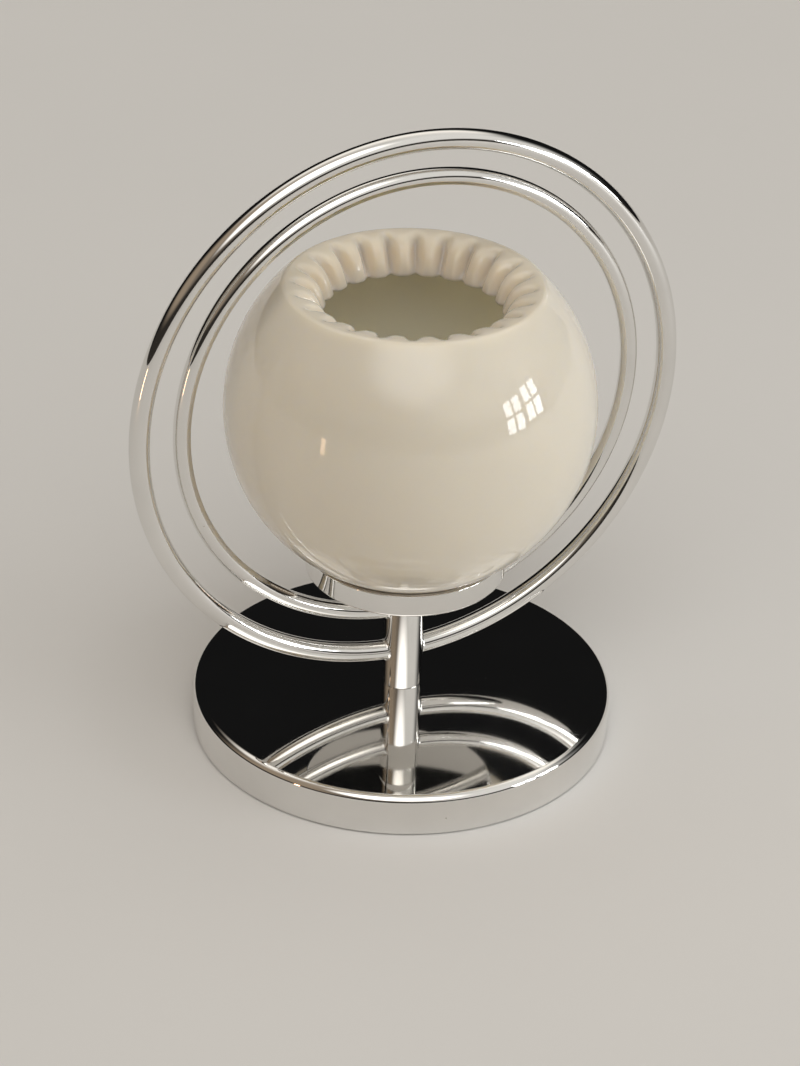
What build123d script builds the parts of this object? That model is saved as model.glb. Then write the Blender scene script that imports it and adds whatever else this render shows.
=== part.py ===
from build123d import *
import os
from math import sqrt

# Chrome table lamp: an opal glass globe stands in a shallow cup on a short stem,
# and two chrome rings stand round the globe in one vertical plane.
# Millimetres, +Z up, origin at the centre of the underside of the base.
# The rings lie in the XZ plane, and +Y is the back of the lamp.

os.makedirs("parts", exist_ok=True)

# Driving dimensions: base
base_diameter = 210.0
base_height = 21.5
base_wall = 1.2
base_shoulder = 4.0
felt_thickness = 1.6
felt_proud = 0.6
felt_margin = 1.0
weight_thickness = 6.0
weight_clearance = 0.4
weight_hub_diameter = 46.0
weight_hub_fillet = 3.0
weight_recess_diameter = 34.0
weight_recess_depth = 9.0

# Driving dimensions: cord entry in the back of the base
cord_hole_diameter = 8.0
grommet_bore = 6.2
grommet_flange_diameter = 9.6
grommet_flange_thickness = 1.6
grommet_edge = 0.6
grommet_fit = 0.1
grommet_slack = 0.15
cord_slot_margin = 1.0

# Driving dimensions: stem and the threaded pipe inside it
stem_diameter = 20.0
stem_length = 67.0
stem_wall = 1.5
bush_length = 10.0
pipe_diameter = 10.0
pipe_bore = 8.0
pipe_tail = 1.6
pipe_hole_clearance = 0.2
thread_fit = 0.05
nut_across_flats = 17.0
nut_thickness = 3.5
washer_diameter = 26.0
washer_thickness = 1.5

# Driving dimensions: rings, set by the clear space round the globe
inner_ring_bar = 8.5
outer_ring_bar = 10.0
globe_to_inner_ring = 21.75
inner_to_outer_ring = 11.75
outer_ring_seat_height = 19.2
inner_ring_seat_height = 42.9
ring_seat_depth = 1.0
ring_fit = 0.03

# Driving dimensions: cup under the globe
cup_diameter = 99.0
cup_height = 11.7
cup_wall = 1.2
cup_corner = 1.5
cup_rim_round = 0.5

# Driving dimensions: rubber seat ring in the cup
seat_fit = 0.4
seat_inner_margin = 1.5
seat_rim_drop = 0.4
seat_corner = 0.6
globe_seat_gap = 0.3

# Driving dimensions: glass globe
globe_diameter = 180.0
globe_wall = 3.0
globe_to_cup_gap = 1.1
globe_hole_inset = 6.3
globe_hole_edge = 0.8

# Driving dimensions: turned-in lip and fluted collar of the globe
lip_start_diameter = 126.0
lip_round = 3.5
lip_land = 4.5
collar_drop = 1.2
collar_plate_thickness = 3.0
collar_depth = 16.0
collar_glass = 3.2
collar_taper = 9.5
lobe_count = 24
lobe_share = 0.6
mouth_lobe_length = 6.0
foot_lobe_length = 5.0
first_lobe_angle = 13.6

# Driving dimensions: lampholder for a 27 mm screw cap
holder_diameter = 39.0
holder_wall = 2.2
holder_cap_height = 24.0
holder_boss_diameter = 18.0
holder_boss_height = 9.0
holder_body_height = 26.0
holder_spigot_height = 5.0
holder_spigot_fit = 0.05
holder_mouth_wall = 1.6
holder_mouth_fit = 0.3
block_thickness = 8.0
block_fit = 0.05
screw_shell_bore = 26.4
screw_shell_wall = 0.4
screw_shell_height = 23.0
screw_shell_floor_hole = 16.0
contact_width = 6.0
contact_length = 11.0
contact_strip = 0.6
contact_rise = 3.0
terminal_screw_diameter = 3.0
terminal_head_diameter = 5.5
terminal_head_height = 2.0
terminal_spacing = 20.0
terminal_depth = 4.0
grub_screw_diameter = 3.0

# Driving dimensions: small round bulb
bulb_diameter = 45.0
bulb_length = 78.0
bulb_wall = 0.9
bulb_neck_fit = 0.1
bulb_neck_blend = 12.0
bulb_cap_diameter = 25.6
bulb_cap_wall = 0.3
bulb_cap_height = 19.0
bulb_insulator_height = 3.5
bulb_insulator_tip_diameter = 10.4
bulb_tip_diameter = 9.0
bulb_tip_height = 1.3
bulb_contact_gap = 0.3
bulb_neck_in_cap = 7.0
bulb_stem_diameter = 9.0
bulb_stem_height = 22.0
bulb_flare_height = 5.0
filament_wire = 0.6
filament_lead_spacing = 2.4
filament_lead_height = 2.0
filament_span = 16.0
filament_rise = 14.0

# Worked out: base and stem
base_radius = base_diameter / 2
base_inner_radius = base_radius - base_wall
pipe_radius = pipe_diameter / 2
pipe_hole_radius = pipe_radius + pipe_hole_clearance
weight_bottom = felt_thickness
weight_top = weight_bottom + weight_thickness
weight_radius = base_inner_radius - weight_clearance
weight_hub_top = base_height - base_wall
weight_recess_top = weight_bottom + weight_recess_depth
cord_height = (weight_top + base_height - base_shoulder) / 2
stem_radius = stem_diameter / 2
stem_bore_radius = stem_radius - stem_wall
stem_top = base_height + stem_length
ring_seat_radius = stem_radius - ring_seat_depth
nut_bottom = weight_recess_top - washer_thickness - nut_thickness
pipe_bottom = nut_bottom - pipe_tail

# Worked out: cup, seat and globe
cup_radius = cup_diameter / 2
cup_inner_radius = cup_radius - cup_wall
cup_floor = stem_top + cup_wall
cup_rim = stem_top + cup_height
seat_outer_radius = cup_inner_radius - seat_fit
seat_top = cup_rim - seat_rim_drop
globe_hole_radius = cup_inner_radius - globe_hole_inset
globe_radius = globe_diameter / 2
globe_inner_radius = globe_radius - globe_wall
globe_centre = cup_rim + globe_to_cup_gap + sqrt(globe_radius**2 - cup_inner_radius**2)

# Worked out: rings
inner_ring_radius = globe_radius + globe_to_inner_ring + inner_ring_bar / 2
outer_ring_radius = (
    inner_ring_radius + inner_ring_bar / 2 + inner_to_outer_ring + outer_ring_bar / 2
)
outer_ring_bottom = base_height + outer_ring_seat_height
inner_ring_bottom = base_height + inner_ring_seat_height

# Worked out: lip and collar of the globe
lip_start_radius = lip_start_diameter / 2
lip_start_rise = sqrt(globe_radius**2 - lip_start_radius**2)
lip_share = 1 - lip_round / globe_radius
lip_centre_radius = lip_start_radius * lip_share
lip_crest = globe_centre + lip_start_rise * lip_share + lip_round
collar_top = lip_crest - collar_drop
collar_underside = collar_top - collar_plate_thickness
collar_bottom = collar_top - collar_depth
collar_mouth_radius = lip_centre_radius - lip_land
collar_foot_radius = collar_mouth_radius - collar_taper
collar_edge = collar_foot_radius - foot_lobe_length

# Worked out: lampholder and bulb
holder_bottom = cup_floor + washer_thickness + nut_thickness
holder_radius = holder_diameter / 2
holder_joint = holder_bottom + holder_cap_height
holder_top = holder_joint + holder_body_height
pipe_top = holder_bottom + holder_boss_height
block_top = holder_joint
block_bottom = block_top - block_thickness
spigot_radius = holder_radius - holder_wall - holder_spigot_fit
block_radius = spigot_radius - holder_wall - block_fit
screw_shell_radius = screw_shell_bore / 2
contact_crest = block_top + contact_rise + contact_strip
bulb_tip = contact_crest + bulb_contact_gap
bulb_insulator_bottom = bulb_tip + bulb_tip_height
bulb_cap_bottom = bulb_insulator_bottom + bulb_insulator_height
bulb_cap_top = bulb_cap_bottom + bulb_cap_height
bulb_cap_radius = bulb_cap_diameter / 2
bulb_radius = bulb_diameter / 2
bulb_neck_radius = bulb_cap_radius - bulb_cap_wall - bulb_neck_fit
bulb_centre = bulb_tip + bulb_length - bulb_radius
bulb_neck_bottom = bulb_cap_top - bulb_neck_in_cap
bulb_blend_radius = bulb_neck_radius + bulb_neck_blend
bulb_blend_height = bulb_centre - sqrt((bulb_radius + bulb_neck_blend) ** 2 - bulb_blend_radius**2)


# Shapes that are used more than once
def ball_underside(radius, ball_radius):
    """Height of the underside of a ball round the globe's centre, at a distance from the axis."""
    return globe_centre - sqrt(ball_radius**2 - radius**2)


def turned(*outline):
    """Revolve a closed outline of (radius, height) points round the lamp's axis."""
    with BuildPart() as piece:
        with BuildSketch(Plane.XZ):
            with BuildLine():
                Polyline(*outline, close=True)
            make_face()
        revolve(axis=Axis.Z)
    return piece


def tube(outer_radius, inner_radius, bottom, top):
    """A straight tube or washer on the lamp's axis."""
    with BuildPart() as piece:
        with BuildSketch(Plane.XY.offset(bottom)):
            Circle(outer_radius)
            Circle(inner_radius, mode=Mode.SUBTRACT)
        extrude(amount=top - bottom)
    return piece


def pipe_nut(bottom):
    """A thin hexagon nut for the threaded pipe."""
    with BuildPart() as piece:
        with BuildSketch(Plane.XY.offset(bottom)):
            RegularPolygon(nut_across_flats / 2, 6, major_radius=False)
            Circle(pipe_radius + thread_fit, mode=Mode.SUBTRACT)
        extrude(amount=nut_thickness)
    return piece


def bent_ring(bar, radius, bottom):
    """A round bar bent to a ring in the XZ plane, its ends coped to sit in the stem."""
    with BuildPart() as piece:
        with BuildSketch(Plane.YZ):
            with Locations((0, bottom)):
                Circle(bar / 2)
        revolve(axis=Axis((0, 0, bottom + radius), (0, 1, 0)))
        with BuildSketch(Plane.XY.offset(bottom - bar)):
            Circle(ring_seat_radius)
        extrude(amount=2 * bar, mode=Mode.SUBTRACT)
    return piece


# Base: spun shell, cast weight, felt and cord grommet
with BuildPart() as base_shell:
    with BuildSketch(Plane.XZ):
        with BuildLine():
            Polyline(
                (base_radius, felt_proud),
                (base_radius, base_height),
                (pipe_hole_radius, base_height),
                (pipe_hole_radius, base_height - base_wall),
                (base_inner_radius, base_height - base_wall),
                (base_inner_radius, felt_proud),
                close=True,
            )
        make_face()
    revolve(axis=Axis.Z)
    shell_rings = base_shell.edges().filter_by(GeomType.CIRCLE)
    fillet(shell_rings.group_by(Axis.Z)[-1].sort_by(SortBy.RADIUS)[-1], base_shoulder)
    shell_rings = base_shell.edges().filter_by(GeomType.CIRCLE)
    shell_corner = (base_inner_radius, 0, base_height - base_wall)
    fillet(shell_rings.sort_by_distance(shell_corner)[0], base_shoulder - base_wall)
    with BuildSketch(Plane((0, base_radius, cord_height), z_dir=(0, 1, 0))):
        Circle(cord_hole_diameter / 2)
    extrude(amount=base_shoulder + base_wall, both=True, mode=Mode.SUBTRACT)
base_shell.part.label = "base_shell"
export_step(base_shell.part, "parts/base_shell.step")

with BuildPart() as base_weight:
    with BuildSketch(Plane.XZ):
        with BuildLine():
            Polyline(
                (pipe_hole_radius, weight_hub_top),
                (weight_hub_diameter / 2, weight_hub_top),
                (weight_hub_diameter / 2, weight_top),
                (weight_radius, weight_top),
                (weight_radius, weight_bottom),
                (weight_recess_diameter / 2, weight_bottom),
                (weight_recess_diameter / 2, weight_recess_top),
                (pipe_hole_radius, weight_recess_top),
                close=True,
            )
        make_face()
    revolve(axis=Axis.Z)
    weight_rings = base_weight.edges().filter_by(GeomType.CIRCLE)
    hub_foot = weight_rings.sort_by_distance((weight_hub_diameter / 2, 0, weight_top))[0]
    fillet(hub_foot, weight_hub_fillet)
    with BuildSketch(Plane.XY.offset(weight_bottom)):
        with Locations((0, weight_radius / 2)):
            Rectangle(grommet_flange_diameter + 2 * cord_slot_margin, weight_radius + base_wall)
    extrude(amount=weight_thickness, mode=Mode.SUBTRACT)
base_weight.part.label = "base_weight"
export_step(base_weight.part, "parts/base_weight.step")

with BuildPart() as base_felt:
    with BuildSketch():
        Circle(base_inner_radius - felt_margin)
    extrude(amount=felt_thickness)
base_felt.part.label = "base_felt"
export_step(base_felt.part, "parts/base_felt.step")

grommet_plane = Plane((0, base_radius, cord_height), x_dir=(0, 1, 0), z_dir=(1, 0, 0))
grommet_neck_radius = cord_hole_diameter / 2 - grommet_fit
grommet_groove = base_wall + grommet_slack
with BuildPart() as cord_grommet:
    with BuildSketch(grommet_plane):
        with BuildLine():
            Polyline(
                (grommet_flange_thickness, grommet_bore / 2),
                (grommet_flange_thickness, grommet_flange_diameter / 2),
                (0, grommet_flange_diameter / 2),
                (0, grommet_neck_radius),
                (-grommet_groove, grommet_neck_radius),
                (-grommet_groove, grommet_flange_diameter / 2),
                (-grommet_groove - grommet_flange_thickness, grommet_flange_diameter / 2),
                (-grommet_groove - grommet_flange_thickness, grommet_bore / 2),
                close=True,
            )
        make_face()
    revolve(axis=Axis((0, base_radius, cord_height), (0, 1, 0)))
    grommet_rims = cord_grommet.edges().filter_by(GeomType.CIRCLE)
    fillet(grommet_rims.group_by(Axis.Y)[-1].sort_by(SortBy.RADIUS)[-1], grommet_edge)
    grommet_rims = cord_grommet.edges().filter_by(GeomType.CIRCLE)
    fillet(grommet_rims.group_by(Axis.Y)[0].sort_by(SortBy.RADIUS)[-1], grommet_edge)
cord_grommet.part.label = "cord_grommet"
export_step(cord_grommet.part, "parts/cord_grommet.step")

# Stem: chrome tube with blind seats for the ring ends, bushes and the pipe that clamps it
with BuildPart() as stem_tube:
    with BuildSketch(Plane.XY.offset(base_height)):
        Circle(stem_radius)
        Circle(ring_seat_radius, mode=Mode.SUBTRACT)
    extrude(amount=stem_length)
    for bar, radius, bottom in (
        (outer_ring_bar, outer_ring_radius, outer_ring_bottom),
        (inner_ring_bar, inner_ring_radius, inner_ring_bottom),
    ):
        with BuildSketch(Plane.YZ):
            with Locations((0, bottom)):
                Circle(bar / 2 + ring_fit)
        revolve(axis=Axis((0, 0, bottom + radius), (0, 1, 0)), mode=Mode.SUBTRACT)
    with BuildSketch(Plane.XY.offset(base_height)):
        Circle(ring_seat_radius)
        Circle(stem_bore_radius, mode=Mode.SUBTRACT)
    extrude(amount=stem_length)
stem_tube.part.label = "stem_tube"
export_step(stem_tube.part, "parts/stem_tube.step")

stem_foot_bush = tube(
    stem_bore_radius, pipe_radius + thread_fit, base_height, base_height + bush_length
)
stem_foot_bush.part.label = "stem_foot_bush"
export_step(stem_foot_bush.part, "parts/stem_foot_bush.step")

stem_head_bush = tube(stem_bore_radius, pipe_radius + thread_fit, stem_top - bush_length, stem_top)
stem_head_bush.part.label = "stem_head_bush"
export_step(stem_head_bush.part, "parts/stem_head_bush.step")

lamp_pipe = tube(pipe_radius, pipe_bore / 2, pipe_bottom, pipe_top)
lamp_pipe.part.label = "lamp_pipe"
export_step(lamp_pipe.part, "parts/lamp_pipe.step")

base_washer = tube(
    washer_diameter / 2, pipe_hole_radius, weight_recess_top - washer_thickness, weight_recess_top
)
base_washer.part.label = "base_washer"
export_step(base_washer.part, "parts/base_washer.step")

base_lock_nut = pipe_nut(nut_bottom)
base_lock_nut.part.label = "base_lock_nut"
export_step(base_lock_nut.part, "parts/base_lock_nut.step")

# Rings
outer_ring = bent_ring(outer_ring_bar, outer_ring_radius, outer_ring_bottom)
outer_ring.part.label = "outer_ring"
export_step(outer_ring.part, "parts/outer_ring.step")

inner_ring = bent_ring(inner_ring_bar, inner_ring_radius, inner_ring_bottom)
inner_ring.part.label = "inner_ring"
export_step(inner_ring.part, "parts/inner_ring.step")

# Cup that carries the globe, clamped on the stem
with BuildPart() as shade_cup:
    with BuildSketch(Plane.XZ):
        with BuildLine():
            Polyline(
                (pipe_hole_radius, stem_top),
                (cup_radius, stem_top),
                (cup_radius, cup_rim),
                (cup_inner_radius, cup_rim),
                (cup_inner_radius, cup_floor),
                (pipe_hole_radius, cup_floor),
                close=True,
            )
        make_face()
    revolve(axis=Axis.Z)
    cup_rings = shade_cup.edges().filter_by(GeomType.CIRCLE)
    fillet(cup_rings.group_by(Axis.Z)[0].sort_by(SortBy.RADIUS)[-1], cup_corner)
    fillet(shade_cup.edges().filter_by(GeomType.CIRCLE).group_by(Axis.Z)[-1], cup_rim_round)
shade_cup.part.label = "shade_cup"
export_step(shade_cup.part, "parts/shade_cup.step")

cup_washer = tube(washer_diameter / 2, pipe_hole_radius, cup_floor, cup_floor + washer_thickness)
cup_washer.part.label = "cup_washer"
export_step(cup_washer.part, "parts/cup_washer.step")

cup_nut = pipe_nut(cup_floor + washer_thickness)
cup_nut.part.label = "cup_nut"
export_step(cup_nut.part, "parts/cup_nut.step")

# Soft seat ring in the cup, dished to the ball of the globe
dish_ball_radius = globe_radius + globe_seat_gap
dish_outer_radius = sqrt(dish_ball_radius**2 - (globe_centre - seat_top) ** 2)
dish_middle_radius = (globe_hole_radius + dish_outer_radius) / 2
dish_bottom = ball_underside(globe_hole_radius, dish_ball_radius)
seat_inner_radius = globe_hole_radius - seat_inner_margin
with BuildPart() as seat_ring:
    with BuildSketch(Plane.XZ):
        with BuildLine():
            ThreePointArc(
                (globe_hole_radius, dish_bottom),
                (dish_middle_radius, ball_underside(dish_middle_radius, dish_ball_radius)),
                (dish_outer_radius, seat_top),
            )
            Polyline(
                (dish_outer_radius, seat_top),
                (seat_outer_radius, seat_top),
                (seat_outer_radius, cup_floor + seat_corner),
                (seat_outer_radius - seat_corner, cup_floor),
                (seat_inner_radius, cup_floor),
                (seat_inner_radius, dish_bottom),
                (globe_hole_radius, dish_bottom),
            )
        make_face()
    revolve(axis=Axis.Z)
seat_ring.part.label = "seat_ring"
export_step(seat_ring.part, "parts/seat_ring.step")


# Glass globe: a ball with a ground hole below and a turned-in lip above,
# where a funnel with round lobes hangs into it as a collar
def lobed_outline(groove_radius, lobe_length):
    """Arcs of a closed outline with round lobes that point at the lamp's axis."""
    pitch = 360 / lobe_count
    half_lobe = pitch * lobe_share / 2
    tip_radius = groove_radius - lobe_length
    flank_radius = tip_radius + lobe_length * lobe_share
    for lobe in range(lobe_count):
        angle = first_lobe_angle + lobe * pitch
        flank = Vector(flank_radius, 0).rotate(Axis.Z, angle + half_lobe)
        ThreePointArc(
            Vector(flank_radius, 0).rotate(Axis.Z, angle - half_lobe),
            Vector(tip_radius, 0).rotate(Axis.Z, angle),
            flank,
        )
        ThreePointArc(
            flank,
            Vector(groove_radius, 0).rotate(Axis.Z, angle + pitch / 2),
            Vector(flank_radius, 0).rotate(Axis.Z, angle + pitch - half_lobe),
        )


with BuildPart() as collar_space:
    with BuildSketch(Plane.XY.offset(collar_bottom)):
        with BuildLine():
            lobed_outline(collar_foot_radius, foot_lobe_length)
        make_face()
    with BuildSketch(Plane.XY.offset(lip_crest)):
        with BuildLine():
            lobed_outline(collar_mouth_radius, mouth_lobe_length)
        make_face()
    loft(ruled=True)

globe_foot = (globe_hole_radius, ball_underside(globe_hole_radius, globe_radius))
globe_inner_foot = (globe_hole_radius, ball_underside(globe_hole_radius, globe_inner_radius))
collar_inside_radius = sqrt(globe_inner_radius**2 - (collar_underside - globe_centre) ** 2)
lip_start = (lip_start_radius, globe_centre + lip_start_rise)
lip_crest_point = (lip_centre_radius, lip_crest)
with BuildPart() as glass_globe:
    with BuildSketch(Plane.XZ):
        with BuildLine():
            Line(globe_inner_foot, globe_foot)
            ThreePointArc(globe_foot, (globe_radius, globe_centre), lip_start)
            RadiusArc(lip_start, lip_crest_point, -lip_round)
            Polyline(
                lip_crest_point,
                (collar_edge, collar_top),
                (collar_edge, collar_bottom),
                (collar_foot_radius + collar_glass, collar_bottom),
                (collar_mouth_radius + collar_glass, collar_underside),
                (collar_inside_radius, collar_underside),
            )
            ThreePointArc(
                (collar_inside_radius, collar_underside),
                (globe_inner_radius, globe_centre),
                globe_inner_foot,
            )
        make_face()
    revolve(axis=Axis.Z)
    globe_rings = glass_globe.edges().filter_by(lambda edge: edge.is_closed)
    fillet(globe_rings.group_by(Axis.Z)[:2], globe_hole_edge)
    add(collar_space.part, mode=Mode.SUBTRACT)
glass_globe.part.label = "glass_globe"
export_step(glass_globe.part, "parts/glass_globe.step")

# Lampholder on the end of the pipe
grub_height = holder_bottom + holder_boss_height / 2 - holder_wall / 2
with BuildPart() as holder_cap:
    with BuildSketch(Plane.XZ):
        with BuildLine():
            Polyline(
                (pipe_radius + thread_fit, holder_bottom),
                (holder_boss_diameter / 2, holder_bottom),
                (holder_boss_diameter / 2, holder_bottom + holder_boss_height - holder_wall),
                (holder_radius, holder_bottom + holder_boss_height + holder_wall),
                (holder_radius, holder_joint),
                (holder_radius - holder_wall, holder_joint),
                (holder_radius - holder_wall, holder_bottom + holder_boss_height + 2 * holder_wall),
                (holder_boss_diameter / 2, holder_bottom + holder_boss_height),
                (pipe_radius + thread_fit, holder_bottom + holder_boss_height),
                close=True,
            )
        make_face()
    revolve(axis=Axis.Z)
    with BuildSketch(Plane((0, 0, grub_height), z_dir=(0, 1, 0))):
        Circle(grub_screw_diameter / 2 + thread_fit)
    extrude(amount=holder_boss_diameter, mode=Mode.SUBTRACT)
holder_cap.part.label = "holder_cap"
export_step(holder_cap.part, "parts/holder_cap.step")

with BuildPart() as holder_grub_screw:
    with BuildSketch(Plane((0, pipe_radius, grub_height), z_dir=(0, 1, 0))):
        Circle(grub_screw_diameter / 2)
    extrude(amount=holder_boss_diameter / 2 - pipe_radius)
holder_grub_screw.part.label = "holder_grub_screw"
export_step(holder_grub_screw.part, "parts/holder_grub_screw.step")

mouth_radius = screw_shell_radius + screw_shell_wall + holder_mouth_fit
holder_body = turned(
    (spigot_radius, holder_joint - holder_spigot_height),
    (spigot_radius, holder_joint),
    (holder_radius, holder_joint),
    (holder_radius, holder_top),
    (mouth_radius, holder_top),
    (mouth_radius, holder_top - holder_mouth_wall),
    (spigot_radius - holder_wall, holder_top - holder_mouth_wall),
    (spigot_radius - holder_wall, holder_joint - holder_spigot_height),
)
holder_body.part.label = "holder_body"
export_step(holder_body.part, "parts/holder_body.step")

with BuildPart() as terminal_block:
    with BuildSketch(Plane.XY.offset(block_bottom)):
        Circle(block_radius)
    extrude(amount=block_thickness)
    with BuildSketch(Plane.XY.offset(block_bottom)):
        with GridLocations(terminal_spacing, 0, 2, 1):
            Circle(terminal_screw_diameter / 2)
    extrude(amount=terminal_depth, mode=Mode.SUBTRACT)
terminal_block.part.label = "terminal_block"
export_step(terminal_block.part, "parts/terminal_block.step")

with BuildPart() as terminal_screws:
    with BuildSketch(Plane.XY.offset(block_bottom - terminal_head_height)):
        with GridLocations(terminal_spacing, 0, 2, 1):
            Circle(terminal_head_diameter / 2)
    extrude(amount=terminal_head_height)
    with BuildSketch(Plane.XY.offset(block_bottom)):
        with GridLocations(terminal_spacing, 0, 2, 1):
            Circle(terminal_screw_diameter / 2)
    extrude(amount=terminal_depth)
terminal_screws.part.label = "terminal_screws"
export_step(terminal_screws.part, "parts/terminal_screws.step")

holder_screw_shell = turned(
    (screw_shell_floor_hole / 2, block_top),
    (screw_shell_radius + screw_shell_wall, block_top),
    (screw_shell_radius + screw_shell_wall, block_top + screw_shell_height),
    (screw_shell_radius, block_top + screw_shell_height),
    (screw_shell_radius, block_top + screw_shell_wall),
    (screw_shell_floor_hole / 2, block_top + screw_shell_wall),
)
holder_screw_shell.part.label = "holder_screw_shell"
export_step(holder_screw_shell.part, "parts/holder_screw_shell.step")

with BuildPart() as centre_contact:
    with BuildSketch(Plane.XZ):
        with BuildLine() as tongue:
            Polyline(
                (contact_length / 2, block_top + contact_strip / 2),
                (-contact_length / 2, block_top + contact_strip / 2),
                (0, block_top + contact_rise + contact_strip / 2),
                (contact_length / 3, block_top + contact_rise + contact_strip / 2),
            )
        trace(line_width=contact_strip)
    extrude(amount=contact_width / 2, both=True)
centre_contact.part.label = "centre_contact"
export_step(centre_contact.part, "parts/centre_contact.step")

# Bulb
bulb_tip_contact = turned(
    (0, bulb_tip),
    (bulb_tip_diameter / 4, bulb_tip),
    (bulb_tip_diameter / 2, bulb_insulator_bottom),
    (0, bulb_insulator_bottom),
)
bulb_tip_contact.part.label = "bulb_tip_contact"
export_step(bulb_tip_contact.part, "parts/bulb_tip_contact.step")

bulb_insulator = turned(
    (0, bulb_insulator_bottom),
    (bulb_insulator_tip_diameter / 2, bulb_insulator_bottom),
    (bulb_cap_radius - bulb_cap_wall, bulb_cap_bottom),
    (0, bulb_cap_bottom),
)
bulb_insulator.part.label = "bulb_insulator"
export_step(bulb_insulator.part, "parts/bulb_insulator.step")

bulb_cap = tube(bulb_cap_radius, bulb_cap_radius - bulb_cap_wall, bulb_cap_bottom, bulb_cap_top)
bulb_cap.part.label = "bulb_cap"
export_step(bulb_cap.part, "parts/bulb_cap.step")


def bulb_side(inset):
    """The bulb's side from its neck to its crown, drawn inside the glass by the inset."""
    neck = bulb_neck_radius - inset
    ball = bulb_radius - inset
    blend = bulb_neck_blend + inset
    share = ball / (ball + blend)
    meet = (bulb_blend_radius * share, bulb_centre + (bulb_blend_height - bulb_centre) * share)
    Line((neck, bulb_neck_bottom), (neck, bulb_blend_height))
    RadiusArc((neck, bulb_blend_height), meet, blend)
    ThreePointArc(meet, (ball, bulb_centre), (0, bulb_centre + ball))


with BuildPart() as bulb_glass:
    with BuildSketch(Plane.XZ):
        with BuildLine():
            bulb_side(0)
            bulb_side(bulb_wall)
            Line(
                (bulb_neck_radius, bulb_neck_bottom),
                (bulb_neck_radius - bulb_wall, bulb_neck_bottom),
            )
            Line((0, bulb_centre + bulb_radius), (0, bulb_centre + bulb_radius - bulb_wall))
        make_face()
    revolve(axis=Axis.Z)
bulb_glass.part.label = "bulb_glass"
export_step(bulb_glass.part, "parts/bulb_glass.step")

bulb_stem_top = bulb_neck_bottom + bulb_stem_height
bulb_stem = turned(
    (0, bulb_neck_bottom),
    (bulb_neck_radius - bulb_wall, bulb_neck_bottom),
    (bulb_stem_diameter / 2, bulb_neck_bottom + bulb_flare_height),
    (bulb_stem_diameter / 4, bulb_stem_top),
    (0, bulb_stem_top),
)
bulb_stem.part.label = "bulb_stem"
export_step(bulb_stem.part, "parts/bulb_stem.step")

with BuildPart() as bulb_filament:
    with BuildLine() as filament_path:
        Polyline(
            (-filament_lead_spacing / 2, 0, bulb_stem_top),
            (-filament_lead_spacing / 2, 0, bulb_stem_top + filament_lead_height),
            (-filament_span / 2, 0, bulb_stem_top + filament_rise),
            (0, 0, bulb_stem_top + filament_rise / 2),
            (filament_span / 2, 0, bulb_stem_top + filament_rise),
            (filament_lead_spacing / 2, 0, bulb_stem_top + filament_lead_height),
            (filament_lead_spacing / 2, 0, bulb_stem_top),
        )
    with BuildSketch(Plane(filament_path.line @ 0, z_dir=filament_path.line % 0)):
        Circle(filament_wire / 2)
    sweep(transition=Transition.ROUND)
bulb_filament.part.label = "bulb_filament"
export_step(bulb_filament.part, "parts/bulb_filament.step")
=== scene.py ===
import math

import bmesh
import bpy
from bpy.props import FloatProperty, FloatVectorProperty, IntProperty, PointerProperty
from mathutils import Matrix, Vector, noise


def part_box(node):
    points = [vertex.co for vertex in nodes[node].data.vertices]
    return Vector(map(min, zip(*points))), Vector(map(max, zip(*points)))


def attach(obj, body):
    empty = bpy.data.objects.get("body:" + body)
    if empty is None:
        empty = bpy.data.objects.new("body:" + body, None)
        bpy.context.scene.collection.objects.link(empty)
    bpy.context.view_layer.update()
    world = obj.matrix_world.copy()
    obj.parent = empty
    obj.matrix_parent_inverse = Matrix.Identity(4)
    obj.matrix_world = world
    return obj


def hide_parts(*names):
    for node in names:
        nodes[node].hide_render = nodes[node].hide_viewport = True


bl_info = {
    "name": "Chrome Ring Lamp",
    "version": (1, 0, 0),
    "blender": (4, 5, 0),
    "location": "3D View > Sidebar > Lamp",
    "description": "Dresses a chrome table lamp with an opal glass globe and two rings",
    "category": "Add Mesh",
}

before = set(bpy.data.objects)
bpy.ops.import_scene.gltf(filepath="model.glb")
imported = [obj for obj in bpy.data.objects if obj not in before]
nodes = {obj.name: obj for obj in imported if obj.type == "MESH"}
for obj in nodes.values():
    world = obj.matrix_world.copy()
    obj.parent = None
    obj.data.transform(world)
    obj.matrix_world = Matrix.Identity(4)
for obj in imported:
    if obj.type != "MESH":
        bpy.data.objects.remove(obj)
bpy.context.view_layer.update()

MM = 0.001
LATHE_STEPS = 192
GLOBE_STEPS = 432
SHARP_ANGLE = math.radians(32)
MERGE_DISTANCE = 1e-7
EVEN = (1.0, 1.0, 1.0)

# Sizes read from the construction
base_low, base_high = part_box("base_shell")
felt_low, felt_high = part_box("base_felt")
stem_low, stem_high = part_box("stem_tube")
pipe_low, pipe_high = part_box("lamp_pipe")
cup_low, cup_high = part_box("shade_cup")
seat_low, seat_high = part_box("seat_ring")
globe_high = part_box("glass_globe")[1]
holder_cap_low, holder_cap_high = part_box("holder_cap")
holder_low, holder_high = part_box("holder_body")
shell_low, shell_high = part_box("holder_screw_shell")
bulb_cap_low, bulb_cap_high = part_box("bulb_cap")
bulb_low, bulb_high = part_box("bulb_glass")
grommet_low, grommet_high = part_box("cord_grommet")
grommet_height = (grommet_low.z + grommet_high.z) / 2

# Bores round the central pipe
PIPE_HOLE = 5.2 * MM
PIPE_PLAY = 0.05 * MM
PIPE_BORE = pipe_high.x + PIPE_PLAY

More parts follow.
